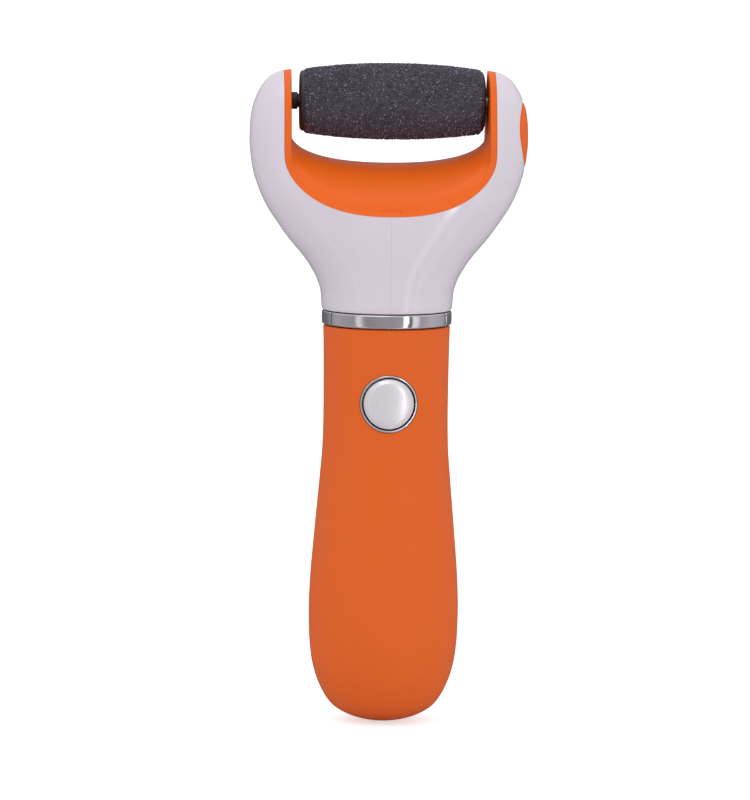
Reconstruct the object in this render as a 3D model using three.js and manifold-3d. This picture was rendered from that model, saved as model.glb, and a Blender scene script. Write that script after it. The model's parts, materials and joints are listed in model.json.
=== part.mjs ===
// Electric callus remover, in millimetres. +Z runs up the handle, the front (switch side) faces -Y,
// and the origin is at the bottom of the handle on its long axis.
import * as THREE from 'three';
import { mergeVertices } from 'three/addons/utils/BufferGeometryUtils.js';
import Module from 'manifold-3d';

const wasm = await Module();
wasm.setup();

// ---------------------------------------------------------------- driving dimensions
const GAP = 0.3;                       // running clearance between neighbouring pieces
const WALL = 1.8;                      // wall of the handle sleeve
const SKIN = 2.1;                      // wall of the head shell
const SLEEVE_TOP = 107.9;
const RING_LOW = 108.2;
const RING_TOP = 111.9;
const RING_R = 17.55;
const HEAD_LOW = 112.2;
const SWITCH_Z = 88.0;
const SWITCH_R = 7.0;
const CRADLE_IN = 26.4;                // inner face of the cradle's side walls
const CRADLE_WALL = 2.0;
const LIP_Y = 18.0;                    // depth at which the saddle has fallen by its full arch
const ROLLER_Z = 168.2;
const CROSS_Z = 137.0;
const IDLER_A_Z = 146.6;
const IDLER_B_Z = 157.8;
const MODULE = 0.8;                    // spur gears
const CROWN_MODULE = 0.6;
const RELEASE_Z = 160.0;
const RELEASE_X = 31.8;
const SCREW_Y = 5.8;
const CELL_X = 7.2;
const CELL_R = 7.0;

// Handle sleeve stations: height, half-width, half-depth.
const HANDLE = [
  [0.0, 4.2, 4.0], [0.5, 6.6, 6.2], [1.2, 8.6, 8.1], [2.2, 10.6, 10.0], [4.3, 13.7, 12.8],
  [6.5, 15.5, 14.5], [9.0, 16.9, 15.8], [13.0, 18.5, 17.2], [18.0, 19.6, 18.1], [24.0, 20.15, 18.6],
  [31.0, 20.3, 18.7], [40.0, 19.95, 18.5], [50.0, 19.15, 18.0], [58.0, 18.45, 17.6],
  [67.0, 17.65, 17.15], [76.0, 17.0, 16.9], [84.0, 16.85, 16.85], [94.0, 16.9, 16.9],
  [102.0, 17.0, 17.0], [106.8, 17.2, 17.2], [SLEEVE_TOP, 17.0, 17.0],
];

// Head stations: height, half-width, half-depth, roundness exponent.
const HEAD = [
  [HEAD_LOW, 17.3, 17.3, 2.0], [112.9, 17.6, 17.6, 2.0], [117.0, 18.0, 17.9, 2.02],
  [120.2, 19.0, 18.2, 2.06], [123.4, 20.7, 18.5, 2.1], [126.6, 22.9, 18.8, 2.15],
  [130.0, 25.8, 19.0, 2.2], [133.2, 28.3, 19.1, 2.25], [136.4, 30.5, 19.1, 2.3],
  [139.6, 32.6, 19.0, 2.35], [142.8, 34.2, 18.7, 2.4], [146.1, 35.5, 18.2, 2.4],
  [149.4, 36.5, 17.5, 2.4], [153.0, 37.1, 16.6, 2.4], [158.0, 37.5, 15.3, 2.4],
  [162.0, 37.4, 14.3, 2.4], [166.0, 36.9, 13.2, 2.35], [169.2, 35.9, 12.1, 2.3],
  [172.0, 34.5, 10.6, 2.2], [174.0, 33.0, 8.8, 2.1], [175.4, 31.4, 6.6, 2.0], [176.3, 29.6, 3.6, 2.0],
];

// ---------------------------------------------------------------- solids
function toSolid(geometry) {
  const flat = geometry.index ? geometry.toNonIndexed() : geometry;
  const bare = new THREE.BufferGeometry();
  bare.setAttribute('position', flat.getAttribute('position').clone());
  const merged = mergeVertices(bare, 1e-5);
  const mesh = new wasm.Mesh({
    numProp: 3,
    vertProperties: new Float32Array(merged.getAttribute('position').array),
    triVerts: new Uint32Array(merged.index.array),
  });
  return new wasm.Manifold(mesh);
}

function place(geometry, x, y, z) {
  geometry.translate(x, y, z);
  return toSolid(geometry);
}

// A box between two corners.
function box(x0, x1, y0, y1, z0, z1) {
  const g = new THREE.BoxGeometry(x1 - x0, y1 - y0, z1 - z0);
  return place(g, (x0 + x1) / 2, (y0 + y1) / 2, (z0 + z1) / 2);
}

// A cylinder along X, Y or Z, from a to b on that axis, with its centre line through the other two.
function rod(axis, r, a, b, u, v, sides = 24, r2 = r) {
  const g = new THREE.CylinderGeometry(r2, r, b - a, sides);
  const mid = (a + b) / 2;
  if (axis === 'x') {
    g.rotateZ(-Math.PI / 2);
    return place(g, mid, u, v);
  }
  if (axis === 'y') {
    return place(g, u, mid, v);
  }
  g.rotateX(Math.PI / 2);
  return place(g, u, v, mid);
}

// A solid of revolution about the X axis through (y = 0, z), from [x, radius] points.
function turnedX(points, z, sides = 32) {
  const g = new THREE.LatheGeometry(points.map(([x, r]) => new THREE.Vector2(r, x)), sides);
  g.rotateZ(-Math.PI / 2);
  return toSolid(outward(g)).translate([0, 0, z]);
}

// A solid of revolution about the Z axis through (x, y), from [radius, z] points.
function turnedZ(points, x, y, sides = 32) {
  const g = new THREE.LatheGeometry(points.map(([r, z]) => new THREE.Vector2(r, z)), sides);
  g.rotateX(Math.PI / 2);
  return toSolid(outward(g)).translate([x, y, 0]);
}

function signedVolume(geometry) {
  const flat = geometry.index ? geometry.toNonIndexed() : geometry;
  const p = flat.getAttribute('position');
  const [a, b, c] = [new THREE.Vector3(), new THREE.Vector3(), new THREE.Vector3()];
  let sum = 0;
  for (let i = 0; i < p.count; i += 3) {
    a.fromBufferAttribute(p, i);
    b.fromBufferAttribute(p, i + 1);
    c.fromBufferAttribute(p, i + 2);
    sum += a.dot(b.cross(c));
  }
  return sum;
}

// The same surface, turned inside out if its triangles face inwards.
function outward(geometry) {
  if (signedVolume(geometry) > 0) {
    return geometry;
  }
  const flat = geometry.index ? geometry.toNonIndexed() : geometry;
  const p = flat.getAttribute('position');
  for (let i = 0; i < p.count; i += 3) {
    const [x, y, z] = [p.getX(i + 1), p.getY(i + 1), p.getZ(i + 1)];
    p.setXYZ(i + 1, p.getX(i + 2), p.getY(i + 2), p.getZ(i + 2));
    p.setXYZ(i + 2, x, y, z);
  }
  return flat;
}

// A closed skin over rings of equal point count, capped flat at both ends.
function skin(rings) {
  const n = rings[0].length;
  const out = [];
  for (let k = 0; k + 1 < rings.length; k++) {
    for (let i = 0; i < n; i++) {
      const j = (i + 1) % n;
      out.push(rings[k][i], rings[k][j], rings[k + 1][j]);
      out.push(rings[k][i], rings[k + 1][j], rings[k + 1][i]);
    }
  }
  for (const ring of [rings[0], rings[rings.length - 1]]) {
    const flip = ring === rings[0];
    const contour = ring.map((p) => new THREE.Vector2(p.x, flatAxis(rings) === 'z' ? p.y : p.z));
    for (const t of THREE.ShapeUtils.triangulateShape(contour, [])) {
      const order = flip ? [t[2], t[1], t[0]] : t;
      out.push(...order.map((i) => ring[i]));
    }
  }
  const g = new THREE.BufferGeometry().setFromPoints(out);
  return toSolid(outward(g));
}

function flatAxis(rings) {
  return Math.abs(rings[0][0].z - rings[0][1].z) < 1e-9 ? 'z' : 'y';
}

function ovalRing(a, b, z, count, exponent) {
  const ring = [];
  for (let i = 0; i < count; i++) {
    const t = (2 * Math.PI * (i + 0.5)) / count;
    const c = Math.cos(t);
    const s = Math.sin(t);
    const k = (Math.abs(c) ** exponent + Math.abs(s) ** exponent) ** (-1 / exponent);
    ring.push(new THREE.Vector3(a * k * c, b * k * s, z));
  }
  return ring;
}

// A loft over [z, half-width, half-depth, exponent] stations, shrunk by inset.
function loft(stations, inset = 0, count = 48) {
  return skin(stations.map(([z, a, b, e = 2.0]) => ovalRing(a - inset, b - inset, z, count, e)));
}

// ---------------------------------------------------------------- gears
// Outline of a spur gear with slim teeth; a tooth or a gap stands at the top.
function gearOutline(teeth, module, toothOnTop) {
  const pitch = (teeth * module) / 2;
  const step = (2 * Math.PI) / teeth;
  const shape = [];
  for (let i = 0; i < teeth; i++) {
    const mid = Math.PI / 2 + (i + (toothOnTop ? 0 : 0.5)) * step;
    const half = (1.25 * module) / 2 / pitch;
    shape.push([pitch - 1.15 * module, mid - half * 1.45]);
    shape.push([pitch, mid - half]);
    shape.push([pitch + 0.85 * module, mid - half * 0.42]);
    shape.push([pitch + 0.85 * module, mid + half * 0.42]);
    shape.push([pitch, mid + half]);
    shape.push([pitch - 1.15 * module, mid + half * 1.45]);
  }
  return shape.map(([r, t]) => new THREE.Vector2(r * Math.cos(t), r * Math.sin(t)));
}

// A spur gear on the X axis through (y = 0, z), between two x values.
function spur(teeth, x0, x1, z, toothOnTop, bore) {
  const shape = new THREE.Shape(gearOutline(teeth, MODULE, toothOnTop));
  const g = new THREE.ExtrudeGeometry(shape, { depth: x1 - x0, bevelEnabled: false });
  g.rotateY(Math.PI / 2);
  g.rotateX(Math.PI / 2);
  const solid = toSolid(outward(g));
  const low = solid.boundingBox().min;
  const moved = solid.translate([x0 - low[0], 0, z]);
  return bore ? moved.subtract(rod('x', bore, x0 - 1, x1 + 1, 0, z)) : moved;
}

// ---------------------------------------------------------------- head surfaces
// Height of the saddle's floor, arched front to back and dished from side to side.
function saddleHeight(x, y) {
  const s = Math.min((Math.abs(y) / LIP_Y) ** 2, 1.35);
  const low = 151.7 - 10.2 * s;
  const high = 160 - 5.2 * s;
  const power = 2.3 + 1.5 * s;
  const u = Math.min(Math.abs(x) / CRADLE_IN, 1);
  return low + (high - low) * (1 - (1 - u ** power) ** (1 / power));
}

// The space over the saddle, grown by t below and to the sides.
function pocket(t) {
  const steps = 16;
  const rings = [];
  const side = CRADLE_IN + t;
  for (let k = -10; k <= 10; k++) {
    const y = k * 2.1;
    const ring = [];
    for (let i = 0; i <= steps; i++) {
      const w = Math.sin((Math.PI / 2) * ((2 * i) / steps - 1));
      ring.push(new THREE.Vector3(side * w, y, saddleHeight(CRADLE_IN * w, y) - t));
    }
    ring.push(new THREE.Vector3(side, y, 190), new THREE.Vector3(-side, y, 190));
    rings.push(ring);
  }
  return skin(rings);
}

// The station of the hollow inside an outer station; the skin thins a little towards the arms' tops.
function innerStation([z, a, b, e]) {
  const inset = z > 160 ? SKIN - 0.045 * (z - 160) : SKIN;
  const height = z > 160 ? 160 + 0.93 * (z - 160) : z;
  return [height, a - inset, b - inset, e];
}

const headForm = loft(HEAD);
const headInner = loft(HEAD.map(innerStation));
const pocketOpen = pocket(0);
const pocketShell = pocket(CRADLE_WALL + GAP);

// ---------------------------------------------------------------- pieces of the handle
function handleSleeve() {
  const innerStations = HANDLE.filter(([z]) => z > 4 && z < 105).map(([z, a, b]) => [z, a, b]);
  innerStations[0][0] = 3.4;
  innerStations.push([112, 17.4, 17.4]);
  const hole = rod('y', SWITCH_R + 0.75 + GAP, -30, -8, 0, SWITCH_Z, 36);
  return loft(HANDLE).subtract(loft(innerStations, WALL)).subtract(hole);
}

// The bezel and the button's cap are curved like the sleeve: both are cut from it, grown or shrunk a little.
function curvedDisc(radius, proud, depth) {
  const disc = rod('y', radius, -30, -5, 0, SWITCH_Z, 40);
  return disc.intersect(loft(HANDLE, -proud)).subtract(loft(HANDLE, depth));
}

function switchBezel() {
  return curvedDisc(SWITCH_R + 0.75, 0.25, 1.5).subtract(rod('y', SWITCH_R + 0.15, -30, 0, 0, SWITCH_Z, 40));
}

function powerButton() {
  const cap = curvedDisc(5.7, 0.7, 1.0).add(curvedDisc(6.75, 0.35, 1.0));
  return cap.add(rod('y', 1.5, -16.4, -15.2, 0, SWITCH_Z, 16));
}

// ---------------------------------------------------------------- battery tray and electrics
function batteryTray() {
  const blank = rod('z', 14.5, 13.5, 76, 0, 0, 48);
  const open = box(-20, 20, -20, 3.5, 15.5, 72.5);
  let tray = blank.subtract(open).subtract(box(-20, 20, -20, -13.4, 0, 80));
  for (const x of [-CELL_X, CELL_X]) {
    tray = tray.subtract(rod('z', CELL_R + GAP, 16.4, 71.4, x, 0, 32));
  }
  for (let i = 0; i < 5; i++) {
    const z = 17 + i * 11.2;
    tray = tray.subtract(box(-16, -0.8, 9.3, 16, z, z + 9.6)).subtract(box(0.8, 16, 9.3, 16, z, z + 9.6));
  }
  return tray.add(box(-5, 5, 9.2, 11.4, 75, 97.5));
}

function cell(x, up) {
  const [bottom, top] = up ? [19.3, 68.5] : [19.1, 68.3];
  const nub = up ? rod('z', 2.7, 68.2, 69.8, x, 0, 16) : rod('z', 2.7, 17.8, 19.4, x, 0, 16);
  return rod('z', CELL_R, bottom, top, x, 0, 28).add(nub);
}

// A coiled contact, drawn as a turned stack so that it stays one closed body.
function coilContact(x, z, dir) {
  const points = [[0, 0]];
  for (let i = 0; i < 3; i++) {
    points.push([4.2 - i * 0.8, i * 0.75], [4.2 - i * 0.8, i * 0.75 + 0.45], [2.6 - i * 0.6, i * 0.75 + 0.6]);
  }
  points.push([0, 2.3]);
  return turnedZ(points.map(([r, h]) => [r, z + dir * h]), x, 0, 20);
}

const contactPlate = (x, z) => box(x - 4, x + 4, -4, 4, z, z + 0.7);

const board = () => box(-9, 9, -11.6, -10.4, 76.4, 101).subtract(rod('y', 1.1, -13, -9, 6.5, 98, 12));
const switchBody = () => box(-3.1, 3.1, -13.6, -11.9, SWITCH_Z - 3.1, SWITCH_Z + 3.1)
  .subtract(rod('y', 1.9, -14, -12.3, 0, SWITCH_Z, 16));
const switchPlunger = () => rod('y', 1.6, -14.9, -13.5, 0, SWITCH_Z, 16);
const capacitor = () => rod('y', 2.4, -13.2, -11.9, -4.0, 79.8, 16);

// ---------------------------------------------------------------- motor and chassis
// The motor can has two flats, front and back.
function motorCan() {
  const can = rod('z', 10, 93, 123.9, 0, 0, 36).intersect(box(-11, 11, -7.7, 7.7, 90, 130));
  let motor = can.add(rod('z', 3, 123.5, 125.3, 0, 0, 20)).subtract(rod('z', 1.3, 122, 127, 0, 0, 16));
  for (const y of [-SCREW_Y, SCREW_Y]) {
    motor = motor.subtract(rod('z', 1.25, 121.6, 125, 0, y, 16));
  }
  return motor;
}

function motorEndBell() {
  const bell = rod('z', 9.6, 90.2, 92.7, 0, 0, 32).intersect(box(-11, 11, -7.4, 7.4, 80, 130));
  return bell.add(box(-7.4, -6.6, -2, 2, 87, 90.6)).add(box(6.6, 7.4, -2, 2, 87, 90.6));
}

// The pinion has a gap towards the crown gear, on its -X side.
function motorShaft() {
  const shape = new THREE.Shape(gearOutline(10, CROWN_MODULE, true));
  const g = new THREE.ExtrudeGeometry(shape, { depth: 4.2, bevelEnabled: false });
  g.translate(0, 0, 127.1);
  return toSolid(outward(g)).add(rod('z', 1.0, 122.4, 127.5, 0, 0, 16));
}

function crownGear() {
  const [back, root, tip, pitch] = [-6.4, -3.85, -2.5, 7.8];
  let gear = rod('x', 8.5, back, root, 0, CROSS_Z, 52);
  for (let i = 0; i < 26; i++) {
    gear = gear.add(crownTooth(root, tip, pitch).rotate([(360 * i) / 26, 0, 0]).translate([0, 0, CROSS_Z]));
  }
  gear = gear.add(rod('x', 2.6, root - 0.1, root + 1.2, 0, CROSS_Z, 20));
  return gear.subtract(rod('x', 1.25 + GAP / 2, -12, 0, 0, CROSS_Z, 20));
}

// One tooth of the crown, pointing along +X below the axis.
function crownTooth(root, tip, pitch) {
  const shape = new THREE.Shape([
    new THREE.Vector2(-0.58, root - 0.2),
    new THREE.Vector2(0.58, root - 0.2),
    new THREE.Vector2(0.22, tip),
    new THREE.Vector2(-0.22, tip),
  ]);
  const g = new THREE.ExtrudeGeometry(shape, { depth: 1.5, bevelEnabled: false });
  const m = new THREE.Matrix4().makeBasis(
    new THREE.Vector3(0, 1, 0),
    new THREE.Vector3(1, 0, 0),
    new THREE.Vector3(0, 0, -1),
  );
  g.applyMatrix4(m);
  g.translate(0, 0, -(pitch - 0.85));
  return toSolid(outward(g));
}

function chassis() {
  let body = rod('z', 14.3, 96, 125.8, 0, 0, 48);
  body = body.add(box(-18.4, 8, -3.8, 3.8, 124.3, 125.8));
  body = body.add(box(-18.4, -16.6, -3.8, 3.8, 124.3, 149.0));
  body = body.add(box(5.5, 7.3, -4.5, 4.5, 124.3, 141.0));
  body = body.add(box(-18.4, -12.5, -0.8, 0.8, 124.3, 131.0));
  body = body.subtract(rod('z', 12.9, 90, 124.2, 0, 0, 40));
  body = body.subtract(rod('z', 3.3, 120, 130, 0, 0, 24));
  body = body.subtract(box(-11, 11, -20, -9, 90, 102));
  body = body.subtract(box(-5.4, 5.4, 8.9, 20, 90, 98.2));
  for (const y of [-SCREW_Y, SCREW_Y]) {
    body = body.subtract(rod('z', 1.3, 120, 130, 0, y, 16));
  }
  for (const x of [-17.5, 6.4]) {
    body = body.subtract(rod('x', 2.8, x - 2, x + 2, 0, CROSS_Z, 24));
  }
  return body.subtract(rod('x', 1.2 + GAP, -19, -16, 0, IDLER_A_Z, 20));
}

// A screw along -Z with a round head and a cross recess.
function motorScrew(y) {
  const screw = rod('z', 1.9, 126.1, 127.2, 0, y, 20).add(rod('z', 0.95, 122.0, 126.3, 0, y, 16));
  return screw
    .subtract(box(-1.2, 1.2, y - 0.25, y + 0.25, 126.6, 128))
    .subtract(box(-0.25, 0.25, y - 1.2, y + 1.2, 126.6, 128));
}

const bush = (x) => rod('x', 2.5, x - 0.9, x + 0.9, 0, CROSS_Z, 24)
  .subtract(rod('x', 1.55, x - 2, x + 2, 0, CROSS_Z, 24));

// ---------------------------------------------------------------- gear train in the left arm
const crossShaft = () => rod('x', 1.25 - GAP / 2, -24.6, 9.2, 0, CROSS_Z, 20);
const crossSpur = () => spur(12, -24.0, -20.0, CROSS_Z, false, 1.25 + GAP / 2);
const idlerA = () => spur(12, -31.1, -20.3, IDLER_A_Z, true, 1.5);
const idlerB = () => spur(16, -31.1, -29.0, IDLER_B_Z, false, 1.5);
const outputGear = () => spur(10, -31.0, -29.0, ROLLER_Z, true, 1.6);
const pinA = () => rod('x', 1.2, -32.3, -16.8, 0, IDLER_A_Z, 16);
const pinB = () => rod('x', 1.2, -32.3, -28.8, 0, IDLER_B_Z, 16);

function gearPlate() {
  let plate = box(-32.4, -31.4, -2, 2, IDLER_A_Z, ROLLER_Z);
  plate = plate.add(rod('x', 2.0, -32.4, -31.4, 0, IDLER_A_Z, 24));
  plate = plate.add(rod('x', 4.6, -32.4, -31.4, 0, IDLER_B_Z, 32));
  plate = plate.add(rod('x', 2.5, -32.4, -31.4, 0, ROLLER_Z, 24));
  for (const z of [IDLER_A_Z, IDLER_B_Z]) {
    plate = plate.subtract(rod('x', 1.45, -34, -30, 0, z, 20));
  }
  return plate.subtract(rod('x', 1.6, -34, -30, 0, ROLLER_Z, 24));
}

// The drive dog: a journal through the gear and the cradle wall, then a hexagonal key for the roller.
function driveDog() {
  return rod('x', 1.3, -32.3, -28.6, 0, ROLLER_Z, 20)
    .add(rod('x', 2.32, -28.7, -24.6, 0, ROLLER_Z, 28))
    .add(rod('x', 2.0, -24.7, -20.6, 0, ROLLER_Z, 6));
}

// ---------------------------------------------------------------- roller
const SLEEVE_END = [-22.7, 24.4];

function gritSleeve() {
  const [a, b] = SLEEVE_END;
  const points = [[a, 8.3], [a, 8.5]];
  for (let i = 0; i <= 12; i++) {
    const u = (i / 12) * 2 - 1;
    const x = (a + b) / 2 + (u * (b - a - 0.8)) / 2;
    points.push([x, 10.15 - 1.55 * Math.abs(u) ** 2.2]);
  }
  points.push([b, 8.5], [b, 8.3]);
  return turnedX([...points, [a, 8.3]], ROLLER_Z, 44);
}

function rollerCore() {
  const tube = rod('x', 8.0, -22.4, 24.1, 0, ROLLER_Z, 36);
  return tube.subtract(rod('x', 6.4, -30, 30, 0, ROLLER_Z, 32));
}

function driveEndCap() {
  const cap = turnedX([[-24.1, 0], [-24.1, 7.6], [-23.6, 8.15], [-22.9, 8.15], [-22.9, 6.1],
    [-18.4, 6.1], [-18.4, 0]], ROLLER_Z, 36);
  return cap.subtract(rod('x', 2.45, -30, -20.0, 0, ROLLER_Z, 6));
}

function idleEndCap() {
  const cap = turnedX([[20.2, 0], [20.2, 6.1], [24.6, 6.1], [24.6, 8.15], [25.1, 8.0], [25.6, 7.0],
    [25.8, 5.2], [25.8, 0]], ROLLER_Z, 36);
  return cap.subtract(rod('x', 1.9, 23.6, 30, 0, ROLLER_Z, 24));
}

// ---------------------------------------------------------------- release mechanism in the right arm
// An oval bar through the arm's outer wall, between two heights.
function releaseForm(halfWidth, low, high) {
  const g = new THREE.CylinderGeometry(1, 1, 12, 40);
  g.rotateZ(-Math.PI / 2);
  g.scale(1, halfWidth, (high - low) / 2);
  return place(g, 36.5, 0, (low + high) / 2);
}

// A rocker: pressing its lower half swings the fork above the pivot outwards and draws the pin.
function releaseButton() {
  const pad = headForm.intersect(releaseForm(6.6, 150.2, 168.6)).subtract(loft(HEAD, SKIN));
  const rib = box(30.4, 35.9, -1.2, 2.6, 158.4, 164.0);
  const web = box(29.3, 34.8, -3.2, 3.2, 162.1, 164.0);
  const prongs = box(29.3, 30.3, -3.2, 3.2, 162.1, 169.0).subtract(box(28, 31, -1.9, 1.9, 165.0, 175));
  const stop = box(32.3, 33.2, -2.4, 2.4, 162.1, 167.8);
  return pad.add(rib).add(web).add(prongs).add(stop)
    .subtract(rod('y', 1.15, -10, 10, RELEASE_X, RELEASE_Z, 20));
}

const releasePivot = () => rod('y', 0.85, -4.8, 4.8, RELEASE_X, RELEASE_Z, 16);

function releasePin() {
  return rod('x', 1.5, 24.4, 31.6, 0, ROLLER_Z, 24).add(rod('x', 2.4, 30.7, 31.7, 0, ROLLER_Z, 24));
}

// Return spring: a stack of turns round the pivot, beside the rocker's rib.
function releaseSpring() {
  const points = [[1.15, 0]];
  for (let i = 0; i < 4; i++) {
    points.push([1.7, i * 0.4 + 0.1], [1.7, i * 0.4 + 0.3], [1.5, i * 0.4 + 0.4]);
  }
  points.push([1.15, 1.6], [1.15, 0]);
  return turnedZ(points, 0, 0, 16).rotate([90, 0, 0]).translate([RELEASE_X, -1.6, RELEASE_Z]);
}

// ---------------------------------------------------------------- head shells and cradle
function headShell(sign) {
  let shell = headForm.subtract(headInner).subtract(pocketShell);
  shell = shell.subtract(rod('x', 5.3, -31.4, -28, 0, ROLLER_Z, 32));
  const half = sign > 0 ? box(0.1, 60, -40, 40, 100, 190) : box(-60, -0.1, -40, 40, 100, 190);
  shell = shell.intersect(half);
  return sign > 0 ? shell.subtract(releaseForm(6.95, 149.3, 169.1)) : shell;
}

// An ear on the cradle's outer wall that holds one end of the rocker's pivot.
function pivotEar(low, high) {
  const ear = box(28.2, RELEASE_X, low, high, RELEASE_Z - 1.6, RELEASE_Z + 1.6);
  return ear.add(rod('y', 1.6, low, high, RELEASE_X, RELEASE_Z, 20));
}

function cradle() {
  let body = pocket(CRADLE_WALL).subtract(pocketOpen).intersect(loft(HEAD, 0.05));
  body = body.subtract(rod('x', 2.7, -32, -20, 0, ROLLER_Z, 28));
  body = body.subtract(rod('x', 1.9, 20, 32, 0, ROLLER_Z, 24));
  body = body.subtract(rod('x', 5.9, -31.5, -19.9, 0, IDLER_A_Z, 32));  // room for the wide idler
  body = body.subtract(notch(-1)).subtract(notch(1));
  body = body.add(pivotEar(-4.8, -3.6)).add(pivotEar(3.6, 4.8));
  return body.subtract(rod('y', 1.15, -10, 10, RELEASE_X, RELEASE_Z, 20));
}

// A catch notch for a push-on cover at the middle of the lip, front or back.
function notch(side) {
  const [a, b] = side > 0 ? [LIP_Y, 25] : [-25, -LIP_Y];
  return box(-2.5, 2.5, a, b, 139.3, 141.0);
}

// ---------------------------------------------------------------- neck ring
const ringBlank = rod('z', RING_R, RING_LOW, RING_TOP, 0, 0, 72)
  .subtract(rod('z', 15.5, 100, 120, 0, 0, 60));

const ringFront = () => ringBlank.intersect(box(-30, 30, -30, -8.4, 100, 120));
const ringBack = () => ringBlank.intersect(box(-30, 30, 8.4, 30, 100, 120));

function latchTab(sign) {
  const [a, b] = sign > 0 ? [0, 30] : [-30, 0];
  return ringBlank.intersect(box(a, b, -8.1, 8.1, 100, 120));
}

// ---------------------------------------------------------------- materials and assembly
const COLOURS = {
  soft_orange: [0xd9551f, 0.55, 0],
  gloss_white: [0xd0c9d1, 0.2, 0],
  satin_orange: [0xd8551c, 0.4, 0],
  chrome: [0xc9ccd2, 0.08, 1],
  silver: [0xd4d1d2, 0.3, 0.3],
  abrasive: [0x45424c, 0.95, 0],
  black_plastic: [0x232025, 0.45, 0],
  white_plastic: [0xe3e0d8, 0.5, 0],
  steel: [0xa9abb0, 0.3, 1],
  brass: [0xb8934a, 0.3, 1],
  cell_wrap: [0x2f6f4f, 0.35, 0],
  board_green: [0x1d5a33, 0.5, 0],
};

const group = new THREE.Group();
group.name = 'electric_callus_remover';

function addNode(name, solid, finish) {
  const mesh = solid.getMesh();
  const geometry = new THREE.BufferGeometry();
  geometry.setAttribute('position', new THREE.BufferAttribute(new Float32Array(mesh.vertProperties), 3));
  geometry.setIndex(new THREE.BufferAttribute(new Uint32Array(mesh.triVerts), 1));
  const flat = geometry.toNonIndexed();
  flat.computeVertexNormals();
  const [color, roughness, metalness] = COLOURS[finish];
  const material = new THREE.MeshStandardMaterial({ color, roughness, metalness });
  material.name = finish;
  const node = new THREE.Mesh(flat, material);
  node.name = name;
  group.add(node);
}

const PIECES = [
  ['handle_sleeve', handleSleeve, 'soft_orange'],
  ['switch_bezel', switchBezel, 'chrome'],
  ['power_button', powerButton, 'silver'],
  ['neck_ring_front', ringFront, 'chrome'],
  ['neck_ring_back', ringBack, 'chrome'],
  ['latch_tab_left', () => latchTab(-1), 'chrome'],
  ['latch_tab_right', () => latchTab(1), 'chrome'],
  ['head_shell_left', () => headShell(-1), 'gloss_white'],
  ['head_shell_right', () => headShell(1), 'gloss_white'],
  ['roller_cradle', cradle, 'satin_orange'],
  ['grit_sleeve', gritSleeve, 'abrasive'],
  ['roller_core', rollerCore, 'white_plastic'],
  ['drive_end_cap', driveEndCap, 'black_plastic'],
  ['idle_end_cap', idleEndCap, 'black_plastic'],
  ['release_button', releaseButton, 'satin_orange'],
  ['release_pivot', releasePivot, 'steel'],
  ['release_pin', releasePin, 'steel'],
  ['release_spring', releaseSpring, 'steel'],
  ['drive_dog', driveDog, 'black_plastic'],
  ['output_gear', outputGear, 'white_plastic'],
  ['idler_gear_upper', idlerB, 'white_plastic'],
  ['idler_gear_lower', idlerA, 'white_plastic'],
  ['idler_pin_upper', pinB, 'steel'],
  ['idler_pin_lower', pinA, 'steel'],
  ['gear_plate', gearPlate, 'white_plastic'],
  ['cross_shaft', crossShaft, 'steel'],
  ['cross_spur', crossSpur, 'white_plastic'],
  ['crown_gear', crownGear, 'white_plastic'],
  ['bush_left', () => bush(-17.5), 'brass'],
  ['bush_right', () => bush(6.4), 'brass'],
  ['chassis', chassis, 'white_plastic'],
  ['motor_can', motorCan, 'steel'],
  ['motor_end_bell', motorEndBell, 'black_plastic'],
  ['motor_shaft', motorShaft, 'brass'],
  ['motor_screw_front', () => motorScrew(-SCREW_Y), 'steel'],
  ['motor_screw_back', () => motorScrew(SCREW_Y), 'steel'],
  ['circuit_board', board, 'board_green'],
  ['capacitor', capacitor, 'black_plastic'],
  ['switch_body', switchBody, 'steel'],
  ['switch_plunger', switchPlunger, 'black_plastic'],
  ['battery_tray', batteryTray, 'black_plastic'],
  ['battery_left', () => cell(-CELL_X, true), 'cell_wrap'],
  ['battery_right', () => cell(CELL_X, false), 'cell_wrap'],
  ['contact_coil_left', () => coilContact(-CELL_X, 16.7, 1), 'steel'],
  ['contact_coil_right', () => coilContact(CELL_X, 71.1, -1), 'steel'],
  ['contact_plate_left', () => contactPlate(-CELL_X, 70.2), 'brass'],
  ['contact_plate_right', () => contactPlate(CELL_X, 16.7), 'brass'],
];

for (const [name, make, finish] of PIECES) {
  addNode(name, make(), finish);
}

export default group;
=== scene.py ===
# %% [markdown]
# # An electric callus remover
# The object is a hand-held foot file: an orange grip holds two cells, a motor in the neck drives a train
# of gears up the left arm of a forked head, and they turn a roller covered in mineral grit.
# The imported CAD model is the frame. Every piece below is built in metres in that frame, and either gives
# a CAD node its finish or stands in for it with a finer surface.

# %% Load the frame
import json
import math

import bmesh
import bpy
import numpy as np
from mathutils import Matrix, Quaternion, Vector


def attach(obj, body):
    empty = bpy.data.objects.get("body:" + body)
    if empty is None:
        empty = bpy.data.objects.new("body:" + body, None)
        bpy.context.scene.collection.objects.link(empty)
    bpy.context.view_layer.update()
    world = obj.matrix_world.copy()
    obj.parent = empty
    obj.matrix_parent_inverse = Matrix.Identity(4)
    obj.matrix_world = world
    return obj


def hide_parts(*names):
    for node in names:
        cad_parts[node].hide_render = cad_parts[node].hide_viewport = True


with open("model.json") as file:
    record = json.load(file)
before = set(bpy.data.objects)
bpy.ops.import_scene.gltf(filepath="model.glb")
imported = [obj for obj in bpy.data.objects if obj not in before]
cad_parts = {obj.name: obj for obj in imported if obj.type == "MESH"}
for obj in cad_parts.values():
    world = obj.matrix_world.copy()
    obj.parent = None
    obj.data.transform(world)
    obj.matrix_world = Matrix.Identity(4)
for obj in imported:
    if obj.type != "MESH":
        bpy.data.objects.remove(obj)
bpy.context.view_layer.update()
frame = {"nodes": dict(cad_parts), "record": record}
MM = 0.001


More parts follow.
